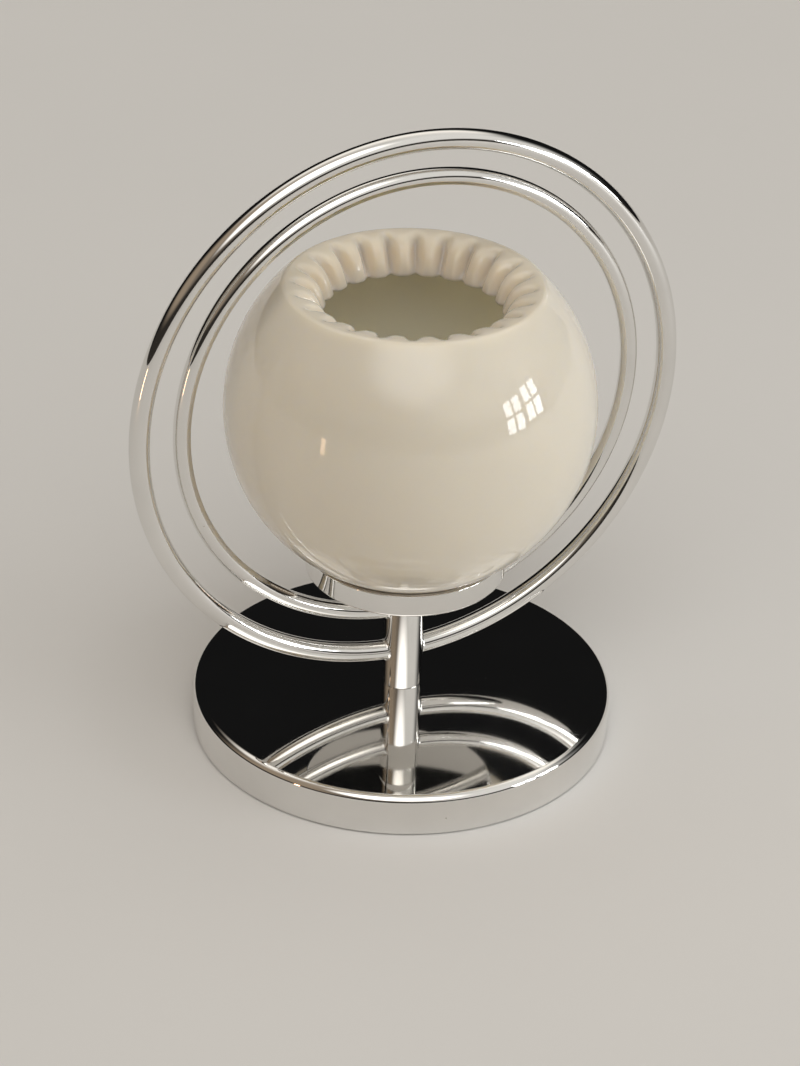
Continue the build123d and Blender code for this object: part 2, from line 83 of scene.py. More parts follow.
# Lines down the collar in a groove and on a crest, in millimetres: radius and depth, then the foot's radius
GROOVE = ((58.3, 0.5), (56.2, 1.8), (54.4, 3.8), (52.6, 6.4), (50.4, 9.6), (47.8, 12.8))
GROOVE_FOOT = 45.2
RIDGE = ((57.6, 0.2), (54.0, 0.9), (50.5, 2.2), (47.5, 4.4), (45.4, 7.4), (43.7, 11.2))
RIDGE_FOOT = 42.4


# Properties that a user would change
def length(name, description, millimetres):
    return FloatProperty(
        name=name, description=description, default=millimetres * MM, unit="LENGTH", precision=5
    )


def angle(name, description, degrees):
    return FloatProperty(
        name=name, description=description, default=math.radians(degrees), subtype="ANGLE"
    )


def number(name, description, default):
    return FloatProperty(name=name, description=description, default=default)


def colour(name, description, default):
    return FloatVectorProperty(
        name=name, description=description, default=default, subtype="COLOR", size=3, min=0, max=1
    )


def light(name, description, default):
    return FloatVectorProperty(
        name=name, description=description, default=default, subtype="COLOR", size=3, min=0
    )


class LampSizes(bpy.types.PropertyGroup):
    """Sizes of the lamp's visible pieces"""

    base_wall: length("Base wall", "Thickness of the spun base", 1.2)
    base_shoulder: length("Base shoulder", "Round between the top and the side of the base", 4.0)
    stem_edge: length("Stem edge", "Round on the ends of the stem", 0.35)
    stem_wall: length("Stem wall", "Thickness of the stem tube", 1.5)
    ring_end_inset: length("Ring end inset", "How far the ring ends reach into the stem", 1.4)
    braze_leg: length("Braze leg", "Size of the brazed fillet at each ring end", 1.1)
    cup_wall: length("Cup wall", "Thickness of the cup", 1.2)
    cup_corner: length("Cup corner", "Round under the edge of the cup", 1.5)
    globe_wall: length("Globe wall", "Thickness of the glass", 3.0)
    globe_to_cup_gap: length("Globe to cup gap", "Gap between the cup's rim and the glass", 1.1)
    hole_inset: length("Hole inset", "From the cup's wall to the hole under the globe", 6.3)
    hole_edge: length("Hole edge", "Round on the ground edge of that hole", 0.8)
    seat_gap: length("Seat gap", "Gap between the glass and the soft ring", 0.3)
    lip_radius: length("Lip radius", "Radius where the ball starts to turn in", 63.0)
    lip_round: length("Lip round", "Round of the turned-in lip", 3.5)
    collar_depth: length("Collar depth", "How deep the fluted collar hangs in the globe", 16.0)
    lobe_count: IntProperty(name="Lobes", description="Lobes round the fluted collar", default=24, min=3)
    first_lobe: angle("First lobe", "Turn of the first lobe from the right-hand side", 13.6)
    lobe_fullness: number("Lobe fullness", "How wide the lobes are against the grooves", 2.2)
    thread_pitch: length("Thread pitch", "Pitch of the lampholder's round thread", 3.62)
    thread_depth: length("Thread depth", "Depth of the lampholder's round thread", 0.55)
    pipe_pitch: length("Pipe pitch", "Pitch of the thread on the central pipe", 1.0)
    pipe_thread_depth: length("Pipe thread depth", "Depth of the pipe's thread", 0.25)
    grip_ribs: IntProperty(name="Grip ribs", description="Ribs round the lampholder", default=40, min=3)


class LampFinishes(bpy.types.PropertyGroup):
    """Colours of the lamp's finishes"""

    chrome: colour("Chrome", "Polished chrome plate", (0.83, 0.82, 0.80))
    dust: colour("Dust", "Specks of dust on the chrome", (0.55, 0.53, 0.50))
    opal: colour("Opal glass", "Cream opal glass of the globe", (0.895, 0.745, 0.59))
    # Painted light: the paler colour inside the globe stands in for light that passes through the opal glass
    # into it
    painted_inner_light: colour("Opal lining", "Paler opal glass inside the globe", (0.985, 0.86, 0.67))
    felt: colour("Felt", "Felt under the base", (0.028, 0.05, 0.034))
    rubber: colour("Rubber", "Cord grommet", (0.018, 0.018, 0.018))
    seat: colour("Seat rubber", "Soft ring under the glass", (0.68, 0.65, 0.58))
    steel: colour("Zinc plate", "Nuts, washers, bushes and pipe", (0.60, 0.60, 0.585))
    iron: colour("Cast iron", "Weight in the base", (0.045, 0.045, 0.047))
    bakelite: colour("Moulding", "Lampholder moulding", (0.022, 0.017, 0.014))
    brass: colour("Brass", "Contacts and screw shell", (0.72, 0.52, 0.23))
    nickel: colour("Nickel", "Bulb cap", (0.66, 0.63, 0.58))
    frosted: colour("Frosted glass", "Bulb", (0.90, 0.90, 0.88))
    black_glass: colour("Black glass", "Insulator under the bulb", (0.02, 0.02, 0.025))
    clear_glass: colour("Clear glass", "Stem inside the bulb", (0.9, 0.93, 0.93))
    tungsten: colour("Tungsten", "Filament of the bulb", (0.22, 0.21, 0.2))
    floor: colour("Floor", "Pale studio floor", (0.70, 0.692, 0.675))


class LampStudio(bpy.types.PropertyGroup):
    """Camera and light"""

    azimuth: angle("Azimuth", "Turn of the camera round the lamp", -23.72)
    elevation: angle("Elevation", "Height of the camera over the horizon", 30.48)
    roll: angle("Roll", "Turn of the camera about its own axis", 1.86)
    distance: length("Distance", "From the camera to the point it looks at", 1562.9)
    aim: FloatVectorProperty(
        name="Aim", description="Point that the camera looks at", default=(-0.0028, 0.0013, 0.1064),
        size=3, subtype="TRANSLATION",
    )
    lens: number("Lens", "Focal length in millimetres", 107.5)
    fill: number("Fill", "Strength of the light of the room's walls", 1.0)
    window: number("Window", "Strength of the window light", 9.0)
    window_tint: light("Window tint", "Colour of the window light", (0.98, 0.99, 1.0))
    warm: number("Warm light", "Strength of the small warm light", 7.0)
    warm_tint: light("Warm tint", "Colour of the small warm light", (1.0, 0.66, 0.40))
    overhead: number("Overhead", "Strength of the light overhead", 2.7)
    overhead_tint: light("Overhead tint", "Colour of the light overhead", (1.0, 0.975, 0.94))
    warm_wall: light("Warm wall", "Wall at the left", (0.33, 0.26, 0.19))
    pale_wall: light("Pale wall", "Wall at the right", (0.62, 0.61, 0.58))
    dim_wall: light("Dim wall", "Wall behind the camera", (0.17, 0.14, 0.11))
    key_wall: light("Key wall", "Soft bright wall round the window", (0.82, 0.80, 0.76))
    horizon: light("Horizon", "Dim band along the foot of the walls", (0.03, 0.026, 0.022))
    dark_wall: light("Dark wall", "Wall behind the lamp", (0.008, 0.008, 0.008))
    back_ceiling: light("Back ceiling", "Ceiling behind the lamp", (1.1, 1.05, 0.97))


# Outlines: lists of (radius, height) points
def arc_points(centre, radius, start, end, steps):
    """Points of an arc in the outline's plane, angles from the radius axis."""
    points = []
    for step in range(steps + 1):
        turn = start + (end - start) * step / steps
        points.append((centre[0] + radius * math.cos(turn), centre[1] + radius * math.sin(turn)))
    return points


def upright(radius, low, high, rows):
    """Points of an upright line."""
    return [(radius, low + (high - low) * row / rows) for row in range(rows + 1)]


def rounded(corners, steps=6):
    """A closed outline whose corners (radius, height, round) are turned into arcs."""
    outline = []
    count = len(corners)
    for index, (r, z, size) in enumerate(corners):
        here = Vector((r, z))
        if size <= 0:
            outline.append((r, z))
            continue
        before = (Vector(corners[index - 1][:2]) - here).normalized()
        after = (Vector(corners[(index + 1) % count][:2]) - here).normalized()
        half = before.angle(after) / 2
        reach = size / math.tan(half)
        centre = here + (before + after).normalized() * size / math.sin(half)
        first = here + before * reach - centre
        second = here + after * reach - centre
        start = math.atan2(first.y, first.x)
        sweep = math.atan2(first.x * second.y - first.y * second.x, first.dot(second))
        outline += arc_points(centre, size, start, start + sweep, steps)
    return outline


def curve_through(points, steps):
    """A smooth line through a few (radius, height) points, steps for each stretch."""
    line = []
    last = len(points) - 1
    for index in range(last):
        p0 = Vector(points[max(index - 1, 0)])
        p1 = Vector(points[index])
        p2 = Vector(points[index + 1])
        p3 = Vector(points[min(index + 2, last)])
        for step in range(steps):
            t = step / steps
            place = 0.5 * (
                2 * p1
                + (p2 - p0) * t
                + (2 * p0 - 5 * p1 + 4 * p2 - p3) * t**2
                + (3 * p1 - p0 - 3 * p2 + p3) * t**3
            )
            line.append((place.x, place.y))
    line.append(tuple(points[last]))
    return line


def globe_centre(sizes):
    """Height of the centre of the globe's ball, which stands a small gap over the cup's rim."""
    cup_inside = cup_high.x - sizes.cup_wall
    return cup_high.z + sizes.globe_to_cup_gap + math.sqrt(globe_high.x**2 - cup_inside**2)


# Meshes
def new_object(name, mesh):
    piece = bpy.data.objects.new(name, mesh)
    bpy.context.scene.collection.objects.link(piece)
    return piece


def smooth(mesh):
    """Smooth shading with crisp edges."""
    mesh.polygons.foreach_set("use_smooth", [True] * len(mesh.polygons))
    mesh.set_sharp_from_angle(angle=SHARP_ANGLE)


def face_outwards(mesh, merge):
    """Turn the faces outwards, with the doubles merged first or not."""
    shape = bmesh.new()
    shape.from_mesh(mesh)
    if merge:
        bmesh.ops.remove_doubles(shape, verts=shape.verts, dist=MERGE_DISTANCE)
    bmesh.ops.recalc_face_normals(shape, faces=shape.faces)
    shape.to_mesh(mesh)
    shape.free()


def mesh_from(name, points, faces, outward=True):
    """A mesh with its doubles merged and its faces turned outwards."""
    mesh = bpy.data.meshes.new(name)
    mesh.from_pydata(points, [], faces)
    if outward:
        face_outwards(mesh, merge=True)
    smooth(mesh)
    return mesh


def turned_points(outline, steps):
    """Grid of points of an outline turned round the Z axis, one ring for each outline point."""
    points = []
    for r, z in outline:
        for step in range(steps):
            turn = 2 * math.pi * step / steps
            points.append((r * math.cos(turn), r * math.sin(turn), z))
    return points


def grid_faces(rows, columns, rows_closed):
    """Quads of a grid that is closed across its columns."""
    faces = []
    for row in range(rows if rows_closed else rows - 1):
        here = row * columns
        above = (row + 1) % rows * columns
        for column in range(columns):
            beside = (column + 1) % columns
            faces.append((here + column, here + beside, above + beside, above + column))
    return faces


def turned(name, outline, steps=LATHE_STEPS, closed=True):
    """A turned piece: a closed outline makes a solid ring, an open one starts and ends on the axis."""
    points = turned_points(outline, steps)
    return new_object(name, mesh_from(name, points, grid_faces(len(outline), steps, closed)))


def plain_mesh(piece):
    """Turn an object with modifiers into a plain mesh, and take its modifiers off."""
    bpy.context.view_layer.update()
    graph = bpy.context.evaluated_depsgraph_get()
    mesh = bpy.data.meshes.new_from_object(piece.evaluated_get(graph), depsgraph=graph)
    piece.modifiers.clear()
    piece.data = mesh
    smooth(mesh)


def seat_on(piece, material, slot, body, *replaced):
    """Give a finished piece its material, the body it rides on and the nodes it stands for. The slot is not
    used.
    """
    piece.data.materials.clear()
    piece.data.materials.append(material)
    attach(piece, body)
    if replaced:
        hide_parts(*replaced)


def dress_nodes(material, *names):
    """Give construction nodes a better material."""
    for name in names:
        nodes[name].data.materials.clear()
        nodes[name].data.materials.append(material)


# Node trees: an underscore in a keyword stands for a space in a socket's name
def feed(node, **sources):
    """Link sockets to a node's inputs."""
    for label, socket in sources.items():
        node.id_data.links.new(socket, node.inputs[label.replace("_", " ")])


def set_values(node, **values):
    """Set a node's inputs to plain values."""
    for label, value in values.items():
        node.inputs[label.replace("_", " ")].default_value = value


def maths(tree, operation, *values):
    """A Math node fed by sockets or numbers."""
    node = tree.nodes.new("ShaderNodeMath")
    node.operation = operation
    for index, value in enumerate(values):
        if isinstance(value, (int, float)):
            node.inputs[index].default_value = value
        else:
            tree.links.new(value, node.inputs[index])
    return node.outputs["Value"]


def blend(tree, share, first, second):
    """A colour between two others, each a socket or a plain colour."""
    mix = tree.nodes.new("ShaderNodeMix")
    mix.data_type = "RGBA"
    feed(mix, Factor=share)
    for label, tone in (("A", first), ("B", second)):
        if isinstance(tone, bpy.types.NodeSocket):
            tree.links.new(tone, mix.inputs[label])
        else:
            mix.inputs[label].default_value = (*tone, 1)
    return mix.outputs["Result"]


# Shader groups
def shader_group(name, output, **inputs):
    """A shader group that takes a place and some values, with its given sockets and its output node."""
    tree = bpy.data.node_groups.new(name, "ShaderNodeTree")
    tree.interface.new_socket("Vector", in_out="INPUT", socket_type="NodeSocketVector")
    for label, value in inputs.items():
        kind = "NodeSocketVector" if isinstance(value, tuple) else "NodeSocketFloat"
        tree.interface.new_socket(label, in_out="INPUT", socket_type=kind).default_value = value
    tree.interface.new_socket(output, in_out="OUTPUT", socket_type="NodeSocketFloat")
    return tree, tree.nodes.new("NodeGroupInput").outputs, tree.nodes.new("NodeGroupOutput")


def cloud_group():
    """Soft clouds between two values: smudges, tone and uneven polish."""
    tree, given, result = shader_group("cloudy_tone", "Value", Scale=20.0, Detail=4.0, Low=0.0, High=1.0)
    cloud = tree.nodes.new("ShaderNodeTexNoise")
    feed(cloud, Vector=given["Vector"], Scale=given["Scale"], Detail=given["Detail"])
    stretch = tree.nodes.new("ShaderNodeMapRange")
    set_values(stretch, From_Min=0.3, From_Max=0.7)
    feed(stretch, Value=cloud.outputs["Fac"], To_Min=given["Low"], To_Max=given["High"])
    feed(result, Value=stretch.outputs["Result"])
    return tree


def dust_group():
    """Sparse specks of dust as a mask."""
    tree, given, result = shader_group("dust_specks", "Mask", Scale=180.0, Size=0.06, Share=0.12)
    cells = tree.nodes.new("ShaderNodeTexVoronoi")
    feed(cells, Vector=given["Vector"], Scale=given["Scale"])
    pick = tree.nodes.new("ShaderNodeSeparateColor")
    feed(pick, Color=cells.outputs["Color"])
    near = maths(tree, "LESS_THAN", cells.outputs["Distance"], given["Size"])
    chosen = maths(tree, "LESS_THAN", pick.outputs["Red"], given["Share"])
    feed(result, Mask=maths(tree, "MULTIPLY", near, chosen))
    return tree


def hairline_group():
    """Fine polishing hairlines as a height, drawn out along one direction by the stretch."""
    tree, given, result = shader_group("polish_hairlines", "Height", Stretch=(1.0, 1.0, 0.04), Scale=900.0)
    draw_out = tree.nodes.new("ShaderNodeVectorMath")
    draw_out.operation = "MULTIPLY"
    tree.links.new(given["Vector"], draw_out.inputs[0])
    tree.links.new(given["Stretch"], draw_out.inputs[1])
    lines = tree.nodes.new("ShaderNodeTexNoise")
    set_values(lines, Detail=2.0)
    feed(lines, Vector=draw_out.outputs["Vector"], Scale=given["Scale"])
    feed(result, Height=lines.outputs["Fac"])
    return tree


groups = {}


def effect(tree, maker, **values):
    """Put a shared effect into a material, made once and set to its own values. Gives its output."""
    if maker not in groups:
        groups[maker] = maker()
    node = tree.nodes.new("ShaderNodeGroup")
    node.node_tree = groups[maker]
    set_values(node, **values)
    place = tree.nodes.new("ShaderNodeTexCoord")
    feed(node, Vector=place.outputs["Object"])
    return node.outputs[0]


def new_material(name, base, roughness, metallic=0.0):
    """A material with a Principled shader, and its node tree and shader."""
    material = bpy.data.materials.new(name)
    material.use_nodes = True
    tree = material.node_tree
    shader = tree.nodes["Principled BSDF"]
    set_values(shader, Base_Color=(*base, 1), Roughness=roughness, Metallic=metallic)
    return material, tree, shader


def shade(rgb, share):
    """A darker or lighter tone of a colour."""
    return tuple(min(1.0, channel * share) for channel in rgb)


def drift(tree, base, lighter, darker, scale, detail=4.0):
    """A colour that drifts between two tones of a base colour."""
    cloud = effect(tree, cloud_group, Scale=scale, Detail=detail)
    return blend(tree, cloud, shade(base, darker), shade(base, lighter))


def vary_roughness(tree, shader, low, high, scale):
    """Let the gloss drift between two values."""
    feed(shader, Roughness=effect(tree, cloud_group, Scale=scale, Detail=5.0, Low=low, High=high))


def add_bump(tree, shader, height, strength, distance):
    """Feed a height into the shader's normal."""
    bump = tree.nodes.new("ShaderNodeBump")
    set_values(bump, Strength=strength, Distance=distance)
    feed(bump, Height=height)
    feed(shader, Normal=bump.outputs["Normal"])


def surface(name, base, roughness, tones, gloss=None, grain=None, metallic=0.0):
    """A material whose colour and gloss drift and whose grain stands up a little, and its tree and shader.
    tones: lighter, darker, scale, detail. gloss: low, high, scale.
    grain: scale, detail, strength, distance."""
    material, tree, shader = new_material(name, base, roughness, metallic)
    feed(shader, Base_Color=drift(tree, base, *tones))
    if gloss:
        vary_roughness(tree, shader, *gloss)
    if grain:
        scale, detail, strength, distance = grain
        height = effect(tree, cloud_group, Scale=scale, Detail=detail)
        add_bump(tree, shader, height, strength, distance)
    return material, tree, shader


# Finishes
def chrome_plate(name, finish, stretch):
    """Mirror chrome with faint smudges, polishing hairlines and specks of dust."""
    material, tree, shader = new_material(name, finish.chrome, 0.05, 1.0)
    dust = effect(tree, dust_group, Scale=150.0, Size=0.055, Share=0.05)
    clean = drift(tree, finish.chrome, 1.0, 0.93, 26.0)
    smudge = effect(tree, cloud_group, Scale=34.0, Detail=6.0, Low=0.025, High=0.065)
    dusty_roughness = 0.5
    feed(shader, Base_Color=blend(tree, dust, clean, finish.dust),
         Roughness=maths(tree, "MULTIPLY_ADD", dust, dusty_roughness, smudge))
    lines = effect(tree, hairline_group, Stretch=stretch, Scale=700.0)
    add_bump(tree, shader, lines, 0.02, 0.00005)
    return material


def opal_glass(finish):
    """Cream opal glass under a thin clear casing, fire polished, painted paler inside the globe: the paler
    colour is painted light that stands in for light passing through the glass.
    """
    material, tree, shader = new_material("opal_glass", finish.opal, 0.4)
    set_values(
        shader, Specular_IOR_Level=0.0, Coat_Weight=1.0, Coat_Roughness=0.02, Coat_IOR=1.55,
        Subsurface_Weight=1.0, Subsurface_Radius=(1.0, 0.92, 0.72), Subsurface_Scale=0.012,
    )
    cream = drift(tree, finish.opal, 1.0, 0.965, 9.0, 3.0)
    # Painted light: points inside the globe take the paler colour, standing in for light that comes through
    # the glass
    painted_inside = tree.nodes.new("ShaderNodeAttribute")
    painted_inside.attribute_name = "painted_inner_light"
    feed(shader, Base_Color=blend(tree, painted_inside.outputs["Fac"], cream, finish.painted_inner_light))
    vary_roughness(tree, shader, 0.36, 0.44, 22.0)
    swirl = effect(tree, cloud_group, Scale=14.0, Detail=2.0)
    add_bump(tree, shader, swirl, 0.06, 0.0006)
    return material


def felt_cloth(finish):
    """Dense felt with short fibres."""
    tones = (1.5, 0.7, 900.0, 6.0)
    fibres = (2200.0, 4.0, 0.7, 0.0004)
    material, _, shader = surface("base_felt", finish.felt, 0.95, tones, grain=fibres)
    set_values(shader, Sheen_Weight=0.35, Sheen_Roughness=0.6)
    return material


def soft_rubber(name, base):
    """Moulded rubber with a fine bloom."""
    grain = (1500.0, 3.0, 0.15, 0.0001)
    return surface(name, base, 0.6, (1.12, 0.9, 120.0), (0.5, 0.72, 160.0), grain)[0]


def worked_metal(name, base, low, high, lines_strength):
    """Turned or drawn metal with tool lines and uneven gloss."""
    material, tree, shader = surface(name, base, high, (1.0, 0.82, 70.0), (low, high, 90.0), metallic=1.0)
    lines = effect(tree, hairline_group, Stretch=EVEN, Scale=1600.0)
    add_bump(tree, shader, lines, lines_strength, 0.0001)
    return material


def cast_iron(finish):
    """Rough casting under dark primer."""
    grain = (420.0, 8.0, 0.6, 0.0006)
    return surface("cast_iron", finish.iron, 0.7, (1.5, 0.7, 60.0, 8.0), (0.55, 0.85, 140.0), grain)[0]


def moulding(finish):
    """Dark phenolic moulding with a soft gloss."""
    flow = (300.0, 3.0, 0.08, 0.0002)
    return surface("bakelite", finish.bakelite, 0.3, (1.9, 1.0, 45.0, 6.0), (0.22, 0.4, 80.0), flow)[0]


def lamp_glass(name, base, transmission, low, high):
    """Glass of the bulb: frosted, clear or black."""
    material, _, shader = surface(name, base, high, (1.0, 0.95, 50.0), (low, high, 120.0))
    set_values(shader, Transmission_Weight=transmission, IOR=1.5)
    return material


def floor_paint(finish):
    """Matt pale floor with a hardly visible unevenness."""
    return surface("studio_floor", finish.floor, 0.85, (1.0, 0.985, 3.0), (0.8, 0.9, 5.0))[0]


def glow(name, tint, power):
    """A plain light panel."""
    material = bpy.data.materials.new(name)
    material.use_nodes = True
    tree = material.node_tree
    tree.nodes.clear()
    emission = tree.nodes.new("ShaderNodeEmission")
    set_values(emission, Color=(*tint, 1), Strength=power)
    feed(tree.nodes.new("ShaderNodeOutputMaterial"), Surface=emission.outputs["Emission"])
    return material


# Geometry node trees
def geometry_tree(name, **kinds):
    """An empty geometry tree with named inputs, with its given sockets and its output node."""
    tree = bpy.data.node_groups.new(name, "GeometryNodeTree")
    tree.interface.new_socket("Geometry", in_out="INPUT", socket_type="NodeSocketGeometry")
    for label, kind in kinds.items():
        tree.interface.new_socket(label.replace("_", " "), in_out="INPUT", socket_type="NodeSocket" + kind)
    tree.interface.new_socket("Geometry", in_out="OUTPUT", socket_type="NodeSocketGeometry")
    return tree, tree.nodes.new("NodeGroupInput").outputs, tree.nodes.new("NodeGroupOutput")


def polar_place(tree):
    """Sockets for the radius, turn and height of each point."""
    place = tree.nodes.new("GeometryNodeInputPosition")
    parts = tree.nodes.new("ShaderNodeSeparateXYZ")
    feed(parts, Vector=place.outputs["Position"])
    across, along, height = parts.outputs
    squares = (maths(tree, "MULTIPLY", across, across), maths(tree, "MULTIPLY", along, along))
    radius = maths(tree, "SQRT", maths(tree, "ADD", *squares))
    return radius, maths(tree, "ARCTAN2", along, across), height


def move_points(tree, geometry, radius, turn, height):
    """Set each point's place from a radius, a turn and a height."""
    join = tree.nodes.new("ShaderNodeCombineXYZ")
    across = maths(tree, "MULTIPLY", radius, maths(tree, "COSINE", turn))
    along = maths(tree, "MULTIPLY", radius, maths(tree, "SINE", turn))
    feed(join, X=across, Y=along, Z=height)
    move = tree.nodes.new("GeometryNodeSetPosition")
    feed(move, Geometry=geometry, Position=join.outputs["Vector"])
    return move.outputs["Geometry"]


def close_tree(tree, geometry, material, result):
    """End a tree in Realize Instances and Set Material."""
    realize = tree.nodes.new("GeometryNodeRealizeInstances")
    feed(realize, Geometry=geometry)
    paint = tree.nodes.new("GeometryNodeSetMaterial")
    feed(paint, Geometry=realize.outputs["Geometry"], Material=material)
    feed(result, Geometry=paint.outputs["Geometry"])


def run_tree(piece, tree, **values):
    """Run a geometry tree on an object with its inputs set, and keep the plain mesh."""
    modifier = piece.modifiers.new(tree.name, "NODES")
    modifier.node_group = tree
    for socket in tree.interface.items_tree:
        label = socket.name.replace(" ", "_").lower()
        if socket.in_out == "INPUT" and label in values:
            modifier[socket.identifier] = values[label]
    plain_mesh(piece)


def flute_tree():
    """Swing the points of the collar towards the axis, one lobe after another.
    The attributes ridge_in and ridge_up hold how far a lobe's crest lies from the groove."""
    tree, given, result = geometry_tree(
        "fluted_collar", Lobes="Int", First_Lobe="Float", Fullness="Float", Glass="Material"
    )
    radius, turn, height = polar_place(tree)
    from_lobe = maths(tree, "SUBTRACT", turn, given["First Lobe"])
    swing = maths(tree, "COSINE", maths(tree, "MULTIPLY", from_lobe, given["Lobes"]))
    groove = maths(tree, "MULTIPLY", maths(tree, "SUBTRACT", 1.0, swing), 0.5)
    crest = maths(tree, "SUBTRACT", 1.0, maths(tree, "POWER", groove, given["Fullness"]))
    shifts = []
    for label in ("ridge_in", "ridge_up"):
        stored = tree.nodes.new("GeometryNodeInputNamedAttribute")
        set_values(stored, Name=label)
        shifts.append(maths(tree, "MULTIPLY", stored.outputs["Attribute"], crest))
    inward = maths(tree, "SUBTRACT", radius, shifts[0])
    upward = maths(tree, "ADD", height, shifts[1])
    close_tree(tree, move_points(tree, given["Geometry"], inward, turn, upward), given["Glass"], result)
    return tree


def thread_tree():
    """Wind a round thread onto the points of a tube between two heights."""
    tree, given, result = geometry_tree(
        "round_thread", Pitch="Float", Depth="Float", Bottom="Float", Top="Float", Metal="Material"
    )
    radius, turn, height = polar_place(tree)
    rise = maths(tree, "DIVIDE", maths(tree, "MULTIPLY", height, 2 * math.pi), given["Pitch"])
    wave = maths(tree, "COSINE", maths(tree, "SUBTRACT", rise, turn))
    dip = maths(tree, "MULTIPLY", maths(tree, "SUBTRACT", wave, 1.0), 0.5)
    half = maths(tree, "MULTIPLY", given["Pitch"], 0.5)
    fades = []
    for label, low, high in (("Bottom", 0.0, 1.0), ("Top", 1.0, 0.0)):
        fade = tree.nodes.new("ShaderNodeMapRange")
        fade.interpolation_type = "SMOOTHSTEP"
        set_values(fade, To_Min=low, To_Max=high)
        feed(fade, Value=height, From_Min=maths(tree, "SUBTRACT", given[label], half),
             From_Max=maths(tree, "ADD", given[label], half))
        fades.append(fade.outputs["Result"])
    share = maths(tree, "MULTIPLY", *fades)
    depth = maths(tree, "MULTIPLY", maths(tree, "MULTIPLY", dip, share), given["Depth"])
    cut = maths(tree, "ADD", radius, depth)
    close_tree(tree, move_points(tree, given["Geometry"], cut, turn, height), given["Metal"], result)
    return tree


def rib_tree():
    """Stand one rib after another round a circle."""
    tree, given, result = geometry_tree(
        "grip_ribs", Count="Int", Radius="Float", Height="Float", Moulding="Material"
    )
    circle = tree.nodes.new("GeometryNodeMeshCircle")
    feed(circle, Vertices=given["Count"], Radius=given["Radius"])
    up = tree.nodes.new("ShaderNodeCombineXYZ")
    feed(up, Z=given["Height"])
    lift = tree.nodes.new("GeometryNodeTransform")
    feed(lift, Geometry=circle.outputs["Mesh"], Translation=up.outputs["Vector"])
    facing = tree.nodes.new("ShaderNodeCombineXYZ")
    feed(facing, Z=polar_place(tree)[1])
    stand = tree.nodes.new("GeometryNodeInstanceOnPoints")
    feed(stand, Points=lift.outputs["Geometry"], Instance=given["Geometry"],
         Rotation=facing.outputs["Vector"])
    close_tree(tree, stand.outputs["Instances"], given["Moulding"], result)
    return tree


# Pieces
class LAMP_OT_base(bpy.types.Operator):
    """Spun chrome base, its felt and its cord grommet"""

    bl_idname = "lamp.base"
    bl_label = "Base"

    def execute(self, context):
        finish = context.scene.lamp_finishes
        polish = chrome_plate("base_chrome", finish, EVEN)
        seat_on(self.cover(context.scene.lamp_sizes), polish, "chrome", "stand", "base_shell")
        pad_edge = 0.5 * MM
        pad = turned("felt_pad", rounded([
            (0.0, felt_low.z, 0), (felt_high.x, felt_low.z, pad_edge),
            (felt_high.x, felt_high.z, 0), (0.0, felt_high.z, 0),
        ]), closed=False)
        seat_on(pad, felt_cloth(finish), "felt", "stand", "base_felt")
        seat_on(self.grommet(), soft_rubber("black_rubber", finish.rubber), "rubber", "stand", "cord_grommet")
        dress_nodes(cast_iron(finish), "base_weight")
        return {"FINISHED"}

    def cover(self, sizes):
        """The base shell with the hole for the grommet in its back."""
        radius = base_high.x
        inside = radius - sizes.base_wall
        ceiling = base_high.z - sizes.base_wall
        edge = 0.4 * MM
        cord_hole = 4.0 * MM
        drill_length = 20.0 * MM
        outline = rounded([
            (radius, base_low.z, edge), (radius, base_high.z, sizes.base_shoulder),
            (PIPE_HOLE, base_high.z, 0), (PIPE_HOLE, ceiling, 0),
            (inside, ceiling, sizes.base_shoulder - sizes.base_wall), (inside, base_low.z, edge),
        ], steps=12)
        cover = turned("base_cover", outline, steps=288)
        cutter = bpy.data.meshes.new("cord_hole")
        shape = bmesh.new()
        bmesh.ops.create_cone(
            shape, cap_ends=True, segments=48, radius1=cord_hole, radius2=cord_hole, depth=drill_length,
            matrix=Matrix.Translation((0, radius, grommet_height)) @ Matrix.Rotation(math.pi / 2, 4, "X"),
        )
        shape.to_mesh(cutter)
        shape.free()
        drill = new_object("cord_hole", cutter)
        cut = cover.modifiers.new("cord hole", "BOOLEAN")
        cut.operation = "DIFFERENCE"
        cut.object = drill
        plain_mesh(cover)
        bpy.data.objects.remove(drill)
        return cover

    def grommet(self):
        """Rubber grommet, turned about the cord's axis."""
        flange = (grommet_high.x - grommet_low.x) / 2
        bore = 3.1 * MM
        neck = 3.9 * MM
        lip = 1.6 * MM
        mouth, rim, lip_edge, corner = 0.5 * MM, 0.6 * MM, 0.3 * MM, 0.2 * MM
        outside = grommet_high.y - lip
        inside = grommet_low.y + lip
        outline = rounded([
            (bore, grommet_high.y, mouth), (flange, grommet_high.y, rim), (flange, outside, lip_edge),
            (neck, outside, corner), (neck, inside, corner), (flange, inside, lip_edge),
            (flange, grommet_low.y, rim), (bore, grommet_low.y, mouth),
        ])
        grommet = turned("cord_grommet_ring", outline, steps=64)
        lay = Matrix.Rotation(-math.pi / 2, 4, "X")
        grommet.data.transform(Matrix.Translation((0, 0, grommet_height)) @ lay)
        return grommet


